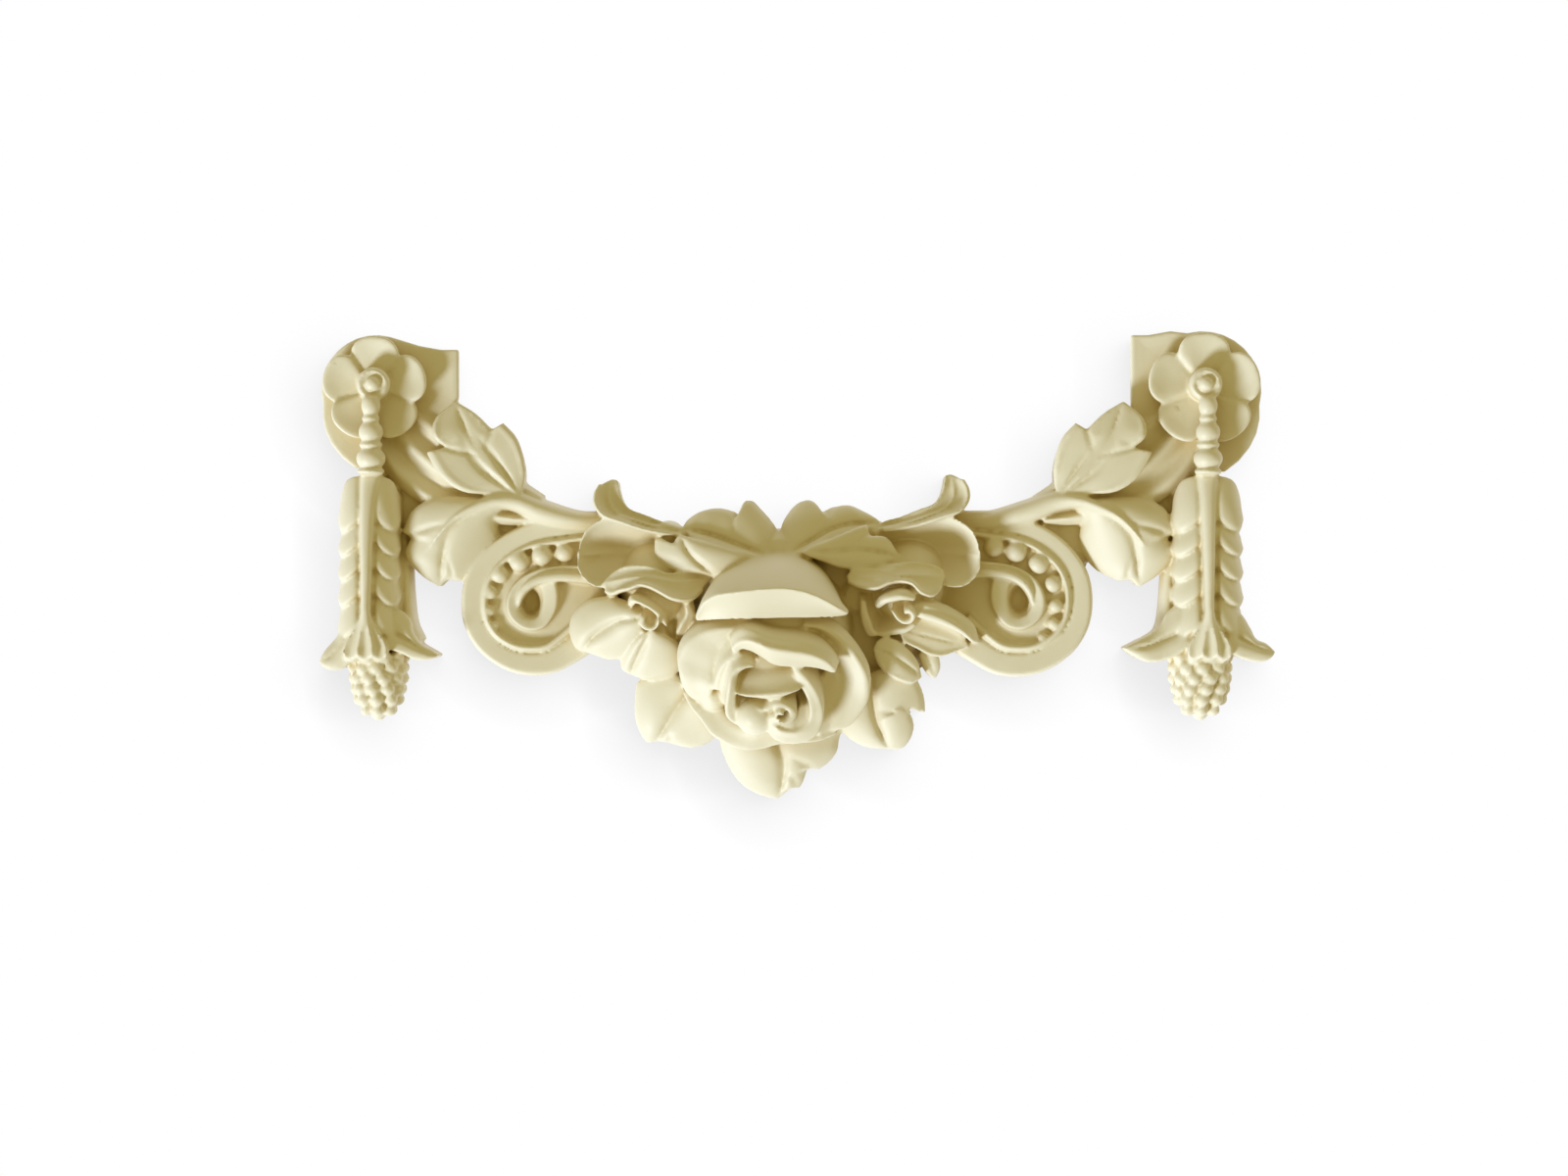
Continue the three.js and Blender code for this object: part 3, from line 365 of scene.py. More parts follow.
ROSE_PETALS = [
    petal_form(  # left: it starts under the back petal's lip and swings round to the bottom
        [[-7, 2.6, 52, 2], [-14, 2.6, 53, 3], [-21, 2, 53, 5], [-32, 0.8, 53, 9], [-41, -2, 51, 13],
         [-47.5, -7, 49, 16], [-50.8, -14, 46, 17], [-50.5, -22, 44, 17], [-48.5, -29, 41, 14],
         [-44.5, -34, 38, 9], [-38.5, -36.5, 36, 4]], foot=(0.8, 26), tilt=0.3, bulge=1.5, roll=0.6),
    petal_form(  # right
        [[12, 3, 54, 2], [22.5, 1.5, 54, 4], [30.5, -3.5, 54, 6], [36.5, -9.5, 53, 9],
         [41.5, -16.5, 51, 12], [44.5, -22.5, 49, 14], [45.5, -28, 47, 15], [45, -34.5, 44.5, 15],
         [41.5, -41.5, 42, 13], [36.5, -47.5, 40, 9], [31.5, -49.8, 39, 6], [25, -50, 38, 3]],
        foot=(0.6, 32), tilt=-0.3, roll=1),
    petal_form(  # bottom
        [[-49, -31, 34, 3], [-45, -38.5, 35, 8], [-39.5, -45.5, 36, 11], [-34.5, -52.5, 37, 12],
         [-28.5, -56.5, 38, 12], [-22.5, -59.3, 38.5, 12], [-14.5, -60.5, 39, 12], [-7.5, -59.5, 39, 12],
         [0, -57.5, 40, 12], [10, -57, 39.5, 10], [20, -56, 38.5, 8], [30, -52, 37, 4]],
        foot=(0.75, 34), tilt=-0.3, bulge=0.5, roll=0.8),
    petal_form(  # second ring, upper, with its pale strip of a lip
        [[-24.5, -9.5, 58, 2.5], [-21.5, -6, 62, 5], [-17.5, -4.6, 65, 9], [-12.5, -5.4, 67, 11],
         [-5.5, -8.3, 68, 11], [2.5, -9.8, 68, 11], [12.5, -11, 67, 11], [20.5, -13.2, 65, 9],
         [26, -16.5, 62, 6], [29.5, -20.5, 57, 2.5]], foot=(0.84, 24), tilt=0.02, bulge=2.5, roll=0.3),
    petal_form(  # second ring, left: its crest runs down beside the bowl, and its wall spreads out
        [[-13, -17.5, 61, 2], [-19, -18.3, 62, 2.5], [-23.5, -21.5, 61, 3], [-25.2, -27, 60, 3.5],
         [-26.3, -34, 57, 4], [-27, -40, 54, 5], [-25.5, -45, 51, 7], [-19, -48.3, 49.5, 8],
         [-13.5, -46.8, 51, 7], [-9, -43.8, 54, 5], [-6, -41, 56, 3]], foot=(1.3, 27), tilt=-0.3, roll=0.8),
    petal_form(  # second ring, left, a fold behind the crest
        [[-20, -11, 58, 2], [-25, -13.5, 57, 3], [-29.5, -18, 54.5, 4], [-32, -24, 51, 4],
         [-33, -30, 47, 3]], foot=(1.1, 20), tilt=0.1),
    petal_form(  # second ring, right: a dished face between the swirl and the right petal
        [[28, -18, 47, 4], [31, -25, 44, 10], [32, -33, 41.5, 13], [30.5, -41, 39.5, 13],
         [27, -47.5, 39, 10], [21, -53, 40, 5]], foot=(0.7, 24), roll=0.2),
    petal_form(  # the swirl
        [[8, -18.5, 61, 2], [11.5, -21.5, 61, 4.5], [16.5, -26.8, 60, 5.5], [20.5, -33.5, 58, 6],
         [22.5, -40.5, 56, 6.5], [22, -46.5, 53, 7], [19.5, -52.5, 50.5, 9], [14.5, -56, 49, 11],
         [8.5, -57.5, 48, 12], [2.5, -57, 48.5, 12], [-2.5, -55, 49.5, 10], [-6, -51, 51.5, 7],
         [-8, -47, 54, 3]], foot=(0.9, 33), tilt=0.05, bulge=0.6, roll=0.4),
    petal_form(  # third ring, upper: the wall of the bowl, with a straight thin lip
        [[-24.5, -26, 55, 2], [-23.8, -30.5, 56.5, 2.5], [-20.5, -32.4, 58, 3], [-12.5, -32.7, 60, 4],
         [-1.5, -32, 62, 4], [6.5, -30.7, 62, 3.5], [12, -29, 60, 2.5]],
        foot=(1.45, 22), tilt=-0.1, bulge=1.5, roll=0.3),
    petal_form(  # the inner face under that lip
        [[-24, -33, 50, 6], [-21, -37, 51, 10], [-15.5, -40.5, 53, 12], [-9, -43, 55, 11], [-4, -46, 56, 8],
         [3, -49, 54, 6], [10, -48, 53, 5], [15, -43, 53, 5], [15, -37, 53, 4]],
        foot=(0.9, 26), tilt=0.1, bulge=0.4, roll=0.3),
    petal_form(  # the curl in the middle
        [[-11, -39, 58, 2], [-7.5, -40.5, 59, 2.4], [-4.5, -38, 60, 2.6], [0.5, -37, 61, 2.8],
         [6.5, -39.5, 61.5, 3], [9, -42.5, 61.5, 3], [6.5, -46.5, 61, 3], [2.5, -47.5, 60.5, 3],
         [-1.5, -45.5, 61, 2.6], [-2, -42.5, 61.5, 2.4], [0.5, -41, 62, 2.2], [3, -43, 62, 2]],
        foot=(0.9, 26), bulge=0.2, roll=0.3),
]
# Round fills behind the rose's inner petals, as [x, z, height, radius]
ROSE_FILLS = [[-33, -33, 36, 7], [-12, -42.5, 48, 10], [4, -44, 48, 8]]
# The cores that carry the petals, as [reach, height along the axis]
ROSE_CORE = [
    [30, -26], [38, -10], [40, 2], [38, 11], [32, 18], [27, 24], [22, 30], [17, 35], [13, 40], [8, 45],
    [5, 49], [2, 51],
]
BUD_CORE = [[24, -26], [26, 10], [23, 24], [17, 34], [11, 41], [5, 44], [1, 45]]


def at(x, z, h):
    return np.array([x, -h, z], float)


def seen(x, z, h):
    """The place at height h that shows at x, z on the wall plane, as the camera sees it."""
    near = (EYE["away"] - h) / EYE["away"]
    return at(EYE["x"] + (x - EYE["x"]) * near, EYE["z"] + (z - EYE["z"]) * near, h)


# Curves


def between(t, low, high, a, b):
    return (high - t) / (high - low) * a + (t - low) / (high - low) * b


def flowing(points, each=14):
    """A smooth curve through points, with a share of samples between each two."""
    points = np.asarray(points, float)
    if len(points) == 2:
        return np.linspace(points[0], points[1], each)
    padded = np.vstack([2 * points[0] - points[1], points, 2 * points[-1] - points[-2]])
    steps = np.sqrt(np.linalg.norm(np.diff(padded, axis=0), axis=1))
    knots = np.concatenate([[0], np.cumsum(np.maximum(steps, 1e-6))])
    runs = []
    for i in range(1, len(padded) - 2):
        p0, p1, p2, p3 = padded[i - 1 : i + 3]
        k0, k1, k2, k3 = knots[i - 1 : i + 3]
        last = i == len(padded) - 3
        t = np.linspace(k1, k2, each + last, endpoint=last)[:, None]
        a = between(t, k0, k1, p0, p1)
        b = between(t, k1, k2, p1, p2)
        c = between(t, k2, k3, p2, p3)
        runs.append(between(t, k1, k2, between(t, k0, k2, a, b), between(t, k1, k3, b, c)))
    return np.vstack(runs)


class Line:
    """A curve through [x, z, h] points that breaks at each sharp corner, read by its share of length."""

    def __init__(self, points, place):
        runs = []
        start = 0
        for i in range(1, len(points)):
            if len(points[i]) > 3 or i == len(points) - 1:
                runs.append(flowing([place(*point[:3]) for point in points[start : i + 1]]))
                start = i
        self.points = np.vstack(runs)
        length = np.linalg.norm(np.diff(self.points, axis=0), axis=1)
        self.shares = np.concatenate([[0], np.cumsum(length)]) / length.sum()
        ends = np.cumsum([len(run) for run in runs])[:-1]
        self.corners = self.shares[ends - 1]

    def at(self, share):
        return np.stack([np.interp(share, self.shares, self.points[:, k]) for k in range(3)], -1)


def smooth(value):
    value = np.clip(value, 0, 1)
    return value * value * (3 - 2 * value)


# Shells: pairs of points and triangles


def loft(rings):
    """A closed shell through rings of equally many points, with a fan across each end."""
    rings = np.asarray(rings, float)
    count, around = rings.shape[:2]
    first = np.arange(around)
    following = np.roll(first, -1)
    faces = []
    for i in range(count - 1):
        low, high = i * around, (i + 1) * around
        faces.append(np.stack([low + first, low + following, high + first], 1))
        faces.append(np.stack([low + following, high + following, high + first], 1))
    points = [rings.reshape(-1, 3)]
    for ring, middle in ((0, count * around), (count - 1, count * around + 1)):
        points.append(rings[ring].mean(axis=0)[None])
        fan = np.stack([np.full(around, middle), ring * around + following, ring * around + first], 1)
        faces.append(fan if ring == 0 else fan[:, ::-1])
    return np.vstack(points), np.vstack(faces)


def ball(centre, radius, around=20):
    turns = np.linspace(0, 2 * np.pi, around, endpoint=False)
    rings = []
    for tilt in np.linspace(0.08, np.pi - 0.08, around // 2):
        r, y = radius * math.sin(tilt), radius * math.cos(tilt)
        rings.append([centre + np.array([r * math.cos(t), y, r * math.sin(t)]) for t in turns])
    return loft(rings)


def hoop(place, x, z, h, radius, around):
    """A ring of points round an upright line."""
    turns = np.linspace(0, 2 * np.pi, around, endpoint=False)
    return [place(x + radius * math.cos(t), z, h + radius * math.sin(t)) for t in turns]


def turned(x, z, profile, around=64):
    """A turned form about a line off the wall, from [radius, height off the wall] points."""
    turns = np.linspace(0, 2 * np.pi, around, endpoint=False)
    return loft([[at(x + r * math.cos(t), z + r * math.sin(t), h) for t in turns] for r, h in profile])


def leaf(shape, place=at, steps=70, across=12):
    """A leaf: two halves beside a sunk rib, creased at its notches, with an edge that turns under."""
    crown, crease, raised = shape["crown"], shape["crease"], shape["rim"]
    rib = Line(shape["rib"], place)
    edges = [Line([shape["rib"][0], *edge, shape["rib"][-1]], place) for edge in shape["edges"]]
    corners = [edge.corners for edge in edges]
    stops = np.unique(np.concatenate([np.linspace(0.004, 0.996, steps), *corners]))
    middle = rib.at(stops)
    ease = np.minimum(1, 6 * stops * (1 - stops))
    share = np.linspace(0, 1, across) ** 1.4
    ridge = shape["ridge"] * smooth(1.25 - 1.4 * stops)
    halves = []
    for edge in edges:
        end = edge.at(stops)
        sheet = middle[:, None] + (end - middle)[:, None] * share[None, :, None]
        hump = 4 * share * (1 - share) * (1 - 0.35 * share)
        groove = np.exp(-((share / 0.09) ** 2))
        side_groove = np.exp(-(((share - 0.2) / 0.07) ** 2)) - 1.4 * np.exp(-((share / 0.11) ** 2))
        roll = raised * np.exp(-(((share - 0.93) / 0.09) ** 2))
        lift = ease[:, None] * (crown * hump - crease * groove + roll)
        lift -= (ease * ridge)[:, None] * side_groove + 1.2 * smooth((share - 0.88) / 0.12)
        for notch in edge.corners[1::2]:
            run = notch - 0.2 * (1 - share)
            gap = (stops[:, None] - run[None]) / 0.022
            lift -= 1.7 * np.exp(-(gap**2)) * smooth(share * 1.6 + 0.1)[None] * ease[:, None]
        sheet[..., 1] -= lift
        width = np.linalg.norm((end - middle)[:, [0, 2]], axis=1)[:, None]
        inward = (middle - end) / np.maximum(width, 1e-6)
        rim = [end + [0, 1.0, 0]]
        for inset, depth in ((0.7, 2.8), (1.4, 5.0)):
            step = np.minimum(inset, width[:, 0] * 0.35)
            rows = zip(step, width[:, 0], sheet[..., 1])
            face = [np.interp(1 - s / max(w, 1e-6), share, row) for s, w, row in rows]
            under = end + inward * step[:, None]
            under[:, 1] = np.minimum(np.maximum(end[:, 1], face) + depth, 0.5)
            rim.append(under)
        foot = middle + (end - middle) * 0.92
        foot[:, 1] = RUN_ON
        halves.append(np.concatenate([sheet, np.stack([*rim, foot], 1)], 1))
    return loft(np.concatenate([halves[0][:, ::-1], halves[1][:, 1:]], 1))


def band(points, cross, place=at, steps=60, fine=True):
    """A stem along [x, z, h, half-width] points. Its cross holds [share of half-width, share of height]."""
    path = flowing([place(*point[:3]) for point in points], max(2, steps // (len(points) - 1)))
    halves = flowing([[point[3], 0, 0] for point in points], max(2, steps // (len(points) - 1)))[:, 0]
    shape = flowing(cross, 5) if fine else np.asarray(cross, float)
    run = np.gradient(path, axis=0)
    run[:, 1] = 0
    run /= np.linalg.norm(run, axis=1)[:, None]
    sideways = np.stack([run[:, 2], 0 * run[:, 0], -run[:, 0]], 1) * np.maximum(halves, 0.4)[:, None]
    shares = np.append(shape[:, 0], shape[[-1, 0], 0])
    rings = path[:, None] + sideways[:, None] * shares[:, None]
    rings[:, :-2, 1] = path[:, 1, None] * shape[:, 1]
    rings[:, -2:, 1] = RUN_ON
    return loft(rings)


# Scrolls


def strip(outer, inner, profile, place, steps=10):
    """A band between two edges, [out, up] each, with a profile of [share from the outer edge, height]."""
    edges = zip(flowing(outer, steps), flowing(inner, steps))
    return loft([[place(*(a + (b - a) * share), h) for share, h in profile] for a, b in edges])


def scroll(spot):
    """A floor with a pit, a flat band round it, a row of beads, and a curl that winds into the pit."""
    def place(out, up, h):
        return seen(spot["x"] + spot["hand"] * out * spot["size"], spot["z"] + up * spot["size"], h)

    parts = [strip(BAND["outer"], BAND["inner"], BAND["profile"], place)]
    parts.append(strip(CURL["outer"], CURL["inner"], CURL["profile"], place))
    parts.append(band(RIDGE, both_sides([[-1, 0.75], [-0.85, 0.92], [-0.5, 0.99]]), place, 90))
    rim = flowing(BAND["outer"] + [[-40, -8], [-41, 22], BAND["outer"][0]], 8)
    rings = []
    for step, h in ((0, -RUN_ON), (0, FLOOR - 1), (1, FLOOR), (2, PIT["h"])):
        ring = []
        for out, up in rim * 0.95:
            turn = math.atan2(up - PIT["up"], out - PIT["out"])
            wide, tall = [half * (1 if step == 1 else 0.7) for half in PIT["half"]]
            dent = [PIT["out"] + wide * math.cos(turn), PIT["up"] + tall * math.sin(turn)]
            ring.append(place(*((out, up) if step == 0 else dent), h))
        rings.append(ring)
    parts.append(loft(rings))
    parts += [ball(place(out, up, FLOOR + 0.6), radius) for out, up, radius in spot["beads"]]
    return parts


# Flowered ends


def flower(end):
    """Five dished petals round a button, each with one edge over its neighbour's."""
    parts = []
    hand, reach, radius = end["hand"], end["reach"], end["flower"]
    span = 360 / FLOWER["petals"]
    across = np.linspace(-1, 1, 25)
    outline = radius * (1 - FLOWER["notch"] * np.abs(across) ** 3)
    for k in range(FLOWER["petals"]):
        rings = []
        for share, lift in PETAL_SECTION:
            ring = []
            for w, r in zip(across, outline * share):
                angle = math.radians(90 + span * (k + FLOWER["spread"] * w))
                h = lift
                if lift > PETAL_SECTION[1][1]:
                    dish = FLOWER["dish"] * (1 - w * w) * smooth((0.97 - share) / 0.35)
                    h = lift - 4 * abs(w) ** 6 + dish + FLOWER["slant"] * w
                ring.append(at(hand * (reach + r * math.cos(angle)), RISE + r * math.sin(angle), h))
            rings.append(ring)
        parts.append(loft(rings))
    button, knob, top = FLOWER["button"], FLOWER["knob"], FLOWER["top"]
    profile = [
        [0.2, -RUN_ON], [button * 0.9, -RUN_ON], [button, top - 6], [button, top - 3.5],
        [button * 0.93, top - 1.4], [button * 0.78, top - 0.4], [button * 0.62, top - 1.2],
        [knob * 1.1, top - 2.8], [knob, top - 1.5], [knob * 0.8, top + 0.6], [knob * 0.4, top + 1.8],
        [0.2, top + 2],
    ]
    parts.append(turned(hand * reach, RISE + FLOWER["up"], profile))
    return parts


def plate(end):
    """The rounded plate behind a flower, with a horn at its inner upper corner."""
    hand, reach, radius = end["hand"], end["reach"], end["flower"]
    across, rise = end["horn"]
    rim = []
    for angle in range(75, 256, 12):
        r = radius + PLATE["margin"] + PLATE["growth"] * max(0, angle - 195)
        rim.append([-r * math.cos(math.radians(angle)), r * math.sin(math.radians(angle))])
    rim += [[-20, -36], [-36, -18], [-across, -4], [-across, rise]]
    rim += [[9 - across, rise], [20 - across, rise + 2]]
    place = from_origin(hand, (reach, RISE))
    return loft([[place(x * share, z * share, h) for x, z in rim] for share, h in PLATE_SECTION])


def cone(size, place):
    """The cone of berries: a core with a berry at each staggered place."""
    inward, height, berry = CONE["inward"], CONE["height"], CONE["berry"]
    full, length = CONE["radius"] * size, CONE["rows"] * CONE["pitch"]
    core = []
    for share in np.arange(13) / 12:
        radius = full * math.sqrt(max(0.02, 1 - share**3))
        core.append(hoop(place, inward, -CONE["gap"] - length * share * 0.97, height, radius, 28))
    parts = [loft(core)]
    for row in range(CONE["rows"]):
        share = (row + 0.35) / CONE["rows"]
        radius = full * math.sqrt(1 - share**3) + 0.4
        count = max(4, round(CONE["around"] * radius / full))
        for i in range(count):
            angle = 2 * np.pi * (i + 0.5 * (row % 2)) / count
            x, h = inward + radius * math.cos(angle), height + radius * math.sin(angle)
            parts.append(ball(place(x, -CONE["gap"] - length * share, h), berry * (1 - 0.12 * share), 14))
    parts.append(ball(place(inward, 1.5 - CONE["gap"] - length, height + 1), berry, 14))
    return parts


def bell(end, place):
    """Two rows of drooping leaflets beside a rib, each lapping over the next one, on a rounded body."""
    half, rib, sides = end["half"], end["rib"], end["sides"]
    body = []
    for z in np.linspace(BELL["length"] - 3, 3, 24):
        low = 1 - z / BELL["length"]
        height = BELL["height"] * 0.8 + BELL["crest"] * low
        ring = []
        for t in np.linspace(0, np.pi, 21):
            shoulder = min(1, 0.35 + (BELL["length"] - z) / 13)
            across = rib * math.sin(t) * 0.5 + half * 0.8 * shoulder * math.cos(t)
            ring.append(place(across, z, height * (0.42 + 0.58 * math.sin(t) ** 0.7)))
        ring += [place(-half * 0.76, z, -RUN_ON), place(half * 0.76, z, -RUN_ON)]
        body.append(ring)
    parts = [loft(body)]
    cuts = BELL["cuts"]
    for way, edge in zip((1, -1), sides):
        for i in range(len(cuts) - 1):
            parts.append(leaflet(way, edge, rib, cuts[i], cuts[i + 1], i == 0, place))
    under = [[half - 3, 58, 10, 1.5], [half - 2, 45, 13, 3], [half - 1.5, 25, 15, 3.6], [half, 10, 17, 4]]
    parts.append(band(under + [[half + 4, 1, 18, 4]], STEM_CROSS, place, 30))
    return parts


def leaflet(way, edge, rib, high, low, is_top, place):
    """A pad from the rib to the side. Its upper edge is tucked under and its lower edge stands proud."""
    rings = []
    down = np.linspace(0, 1, 14)
    for t in np.linspace(0.0, 1, 16):
        x = rib + way * 2 + (way * edge - rib - way * 2) * t
        sweep = BELL["sweep"] * math.sin(t * math.pi / 2) ** 0.9
        close = math.sqrt(max(0.0, 1 - max(0.0, (t - 0.66) / 0.34) ** 2))
        top = high - (7 * t**3 if is_top else sweep) + (0 if is_top else 3.5)
        bottom = low - sweep
        middle = bottom + (top - bottom) * 0.4
        top = middle + (top - middle) * (0.15 + 0.85 * close)
        bottom = middle + (bottom - middle) * (0.15 + 0.85 * close)
        crest = BELL["crest"] * (1 - (high + low) / 2 / BELL["length"])
        height = 12 + (BELL["height"] - 12 + crest) * math.sqrt(max(0.03, 1 - (0.94 * t) ** 2.6))
        height -= 5 * math.exp(-((t / 0.15) ** 2))
        ring = []
        for s in down:
            proud = BELL["lap"] * math.sin(min(1, s / 0.8) * math.pi / 2)
            lift = -3.4 + proud - 3.6 * max(0, (s - 0.86) / 0.14) ** 2
            ring.append(place(x, top + (bottom - top) * s, height + lift))
        for narrow, z, sunk in (
            (1, bottom + 0.5, 3.5), (0.94, bottom + 2.5, 8), (0.94, top - 1.5, 8), (1, top + 0.2, 5),
        ):
            ring.append(place(x * narrow, z, height - sunk))
        rings.append(ring)
    return loft(rings)


def fan(middle, place):
    """The fluted fan at the foot of the rib: three flutes that flare to a scalloped lip."""
    rings = []
    spread = np.linspace(-1, 1, 31)
    flutes = np.abs(np.cos(1.5 * np.pi * spread))
    for t in np.linspace(0, 1, 22):
        half = 2.6 + 9 * smooth(t * 1.1) - 0.8 * t**6
        z = 16 - 22.5 * t
        height = 35.5 + 2.2 * t**3 - 6 * max(0, (t - 0.92) / 0.08) ** 2
        ring = [place(middle + half * w, z - 2.6 * t * flute, height - 2 * w * w - 3.4 * t * flute)
                for w, flute in zip(spread, flutes)]
        ring += [place(middle + half * 0.9, z, 16), place(middle - half * 0.9, z, 16)]
        rings.append(ring)
    return loft(rings)


def bead_string(place):
    """Three round beads that grow downwards, each with a collar under it."""
    top = STRING["length"] + BELL["length"]
    lap = STRING["length"] / len(STRING["beads"])
    rings = []
    for i, bead in enumerate(STRING["beads"]):
        for share, radius in BEAD_SECTION:
            rings.append(hoop(place, 0, top - lap * (i + share), STRING["height"], bead * radius, 32))
    return loft(rings)


def drop(end):
    """The string of beads, the leafed bell with its two side wings, and the berry cone under it."""
    hand, reach, half, rib = end["hand"], end["reach"], end["half"], end["rib"]
    foot = RISE + STRING["top"] - STRING["length"] - BELL["length"]
    length = BELL["length"]

    def place(x, z, h):
        return at(hand * (reach + 1 - x), foot + z, h)

    parts = [bead_string(place)]
    parts += bell(end, place)
    wire = [[0, STRING["length"] + length, 20, 3.2], [0, length - 4, 17, 5]]
    parts.append(band(wire, STEM_CROSS, place, 12))
    spine = [
        [0, length + 1, 26, 5.4], [rib * 0.8, length * 0.84, 29.5, 4.2], [rib, length * 0.55, 33, 3.4],
        [rib, length * 0.3, 34.5, 2.8], [rib, 16, 35.5, 2.6], [rib, 8, 35, 2.4],
    ]
    parts.append(band(spine, both_sides([[-1, 0.82], [-0.85, 0.93], [-0.45, 0.99]]), place, 70))
    parts.append(fan(rib, place))
    parts += [leaf(wing, place, steps=48) for wing in end["wings"]]
    parts += cone((half / 17) ** 0.7, place)
    return parts


def ground(end):
    """The low ground from an end to the middle."""
    outer = [[end["reach"] + x, RISE + z, h, half] for x, z, h, half in GROUND["end"]]
    return band(outer + GROUND["middle"], [[-1, 1], [1, 1]], from_origin(end["hand"]), 60, fine=False)


def bed():
    """Low mounds that carry the buds and the leaves, and close the gaps between them."""
    mound = [[1, -RUN_ON], [0.97, 0.45], [0.84, 0.78], [0.55, 0.94], [0.02, 1]]
    parts = []
    for x, z, size, height in MOUNDS:
        parts.append(turned(x, z, [[r * size, h if h < 0 else h * height] for r, h in mound]))
    return parts


def rolled(points, half, place):
    """A rounded bead along a leaf's lower edge."""
    path = [[x, z, h + 0.6, half] for x, z, h, *corner in points]
    return band(path, both_sides([[-1, 0.93], [-0.7, 0.975]]), place, 48)


def from_origin(hand, shift=(0, 0)):
    """Places from a shifted origin, mirrored for the left side."""
    return lambda x, z, h: at(hand * (x + shift[0]), z + shift[1], h)


def stretched(end):
    """Places from the middle, drawn out as far as an end reaches."""
    return lambda x, z, h: at(end["hand"] * x * end["reach"] / REACH["left"], z, h)


def side(end):
    """All that one side of the festoon has."""
    eye = from_origin(end["hand"], (end["reach"], RISE))
    middle = from_origin(end["hand"])
    hook = from_origin(end["hand"], end["hook"])
    parts = [ground(end), plate(end)] + flower(end) + drop(end)
    parts += [leaf(UPPER_LEAF, eye), leaf(LOWER_LEAF, eye), band(GARLAND, GARLAND_CROSS, eye, 48)]
    parts += [band(STEM, STEM_CROSS, stretched(end), 96), leaf(HUSK, middle), leaf(HOOK, hook)]
    return parts + [rolled(HOOK["edges"][1], 1.2, hook)]


# The rose and its buds


def on_axis(rose, reach, turn, along):
    """The place of a point of a nodding rose from its reach, its angle and its height along the axis."""
    lean = math.radians(rose["lean"])
    x = rose["x"] + reach * np.cos(turn)
    z = rose["z"] + reach * np.sin(turn) * math.cos(lean) - along * math.sin(lean)
    h = rose["h"] + along * math.cos(lean) + reach * np.sin(turn) * math.sin(lean)
    return np.stack([x, -h, z], -1)


def petal(rose, shape, steps=64):
    """A petal whose lip lies where it shows from the front, on a wall that stands on a narrower foot."""
    lean = math.radians(rose["lean"])
    count = max(3, steps // (len(shape["lip"]) - 1))
    lip = flowing([point[:3] for point in shape["lip"]], count)
    widths = flowing([[point[3], 0, 0] for point in shape["lip"]], count)[:, 0]
    foot_share, depth = shape["foot"]
    tilt, roll, bulge = shape["tilt"], shape["roll"], shape["bulge"]
    rings = []
    for spot, width in zip(lip, widths):
        x, y, z = seen(*spot)
        across, rise, off = x - rose["x"], z - rose["z"], -y - rose["h"]
        up = rise * math.cos(lean) + off * math.sin(lean)
        along = off * math.cos(lean) - rise * math.sin(lean)
        reach = math.hypot(across, up)
        turn = math.atan2(up, across)
        width = min(max(width, 1.2), reach * 0.85)
        inner, top = reach - width, along + tilt * width
        loop = [
            [reach * foot_share, along - depth],
            [reach * (1 + foot_share) / 2 + bulge, along - depth * 0.6],
            [reach + bulge * 0.6 + roll * 0.5, along - depth * 0.28],
            [reach + roll, along - 2.6],
            [reach + roll * 0.8, along - 0.9],
            [reach - 0.6, along],
            [reach - width * 0.5, along + tilt * width * 0.5 - 0.3],
            [inner + 0.5, top],
            [inner - 0.4, top - 1.2],
            [inner - 0.6, top - 4],
            [max(0.5, inner - 3), along - depth * 0.6],
            [max(0.3, reach * min(foot_share, 1) - width - 3), along - depth],
        ]
        fine = flowing(loop, 4)
        rings.append(on_axis(rose, fine[:, 0], turn, fine[:, 1]))
    return loft(rings)


def dome(shape):
    """The back petal: a quarter dome from the wall out to a crest, under which its broad lip turns in."""
    share = np.linspace(0, 1, 60)
    lines = []
    for key in ("outline", "crest", "lower"):
        line = flowing(shape[key], 8)
        along = np.linspace(0, 1, len(line))
        lines.append(np.stack([np.interp(share, along, line[:, k]) for k in range(3)], 1))
    rings = []
    for base, top, under in zip(*lines):
        ring = [at(base[0], base[1] - 2, -RUN_ON), at(base[0], base[1] - 0.5, base[2] * 0.6)]
        for step in np.linspace(0, 1, 14):
            x, z, h = base + (top - base) * step
            bow = math.sin(step * math.pi)
            ring.append(at(x, z + 2.2 * bow, h + 1.2 * bow))
        for step in (0.12, 0.3, 0.5, 0.7, 0.88, 1.0):
            x, z, h = top + (under - top) * step
            ring.append(at(x, z, h - 1.2 * math.sin(step * math.pi)))
        for narrow, up, sunk in ((1, 1.2, 2.5), (1, 4, 9), (0.9, 4, 24)):
            ring.append(at(under[0] * narrow, under[1] + up, under[2] - sunk))
        ring.append(at(under[0] * 0.8, under[1] + 2, -RUN_ON))
        rings.append(ring)
    return loft(rings)


def rose_core(rose, profile, size=1):
    turns = np.linspace(0, 2 * np.pi, 64, endpoint=False)
    return loft([on_axis(rose, reach * size, turns, along * size) for reach, along in profile])


def rose():
    parts = [rose_core(ROSE, ROSE_CORE), dome(BACK_PETAL)] + [petal(ROSE, shape) for shape in ROSE_PETALS]
    return parts + [ball(seen(*spot[:3]), spot[3]) for spot in ROSE_FILLS]


def bud(spot, petals):
    return [rose_core(spot, BUD_CORE, spot["size"])] + [petal(spot, shape) for shape in petals]


# One skin from all the shells


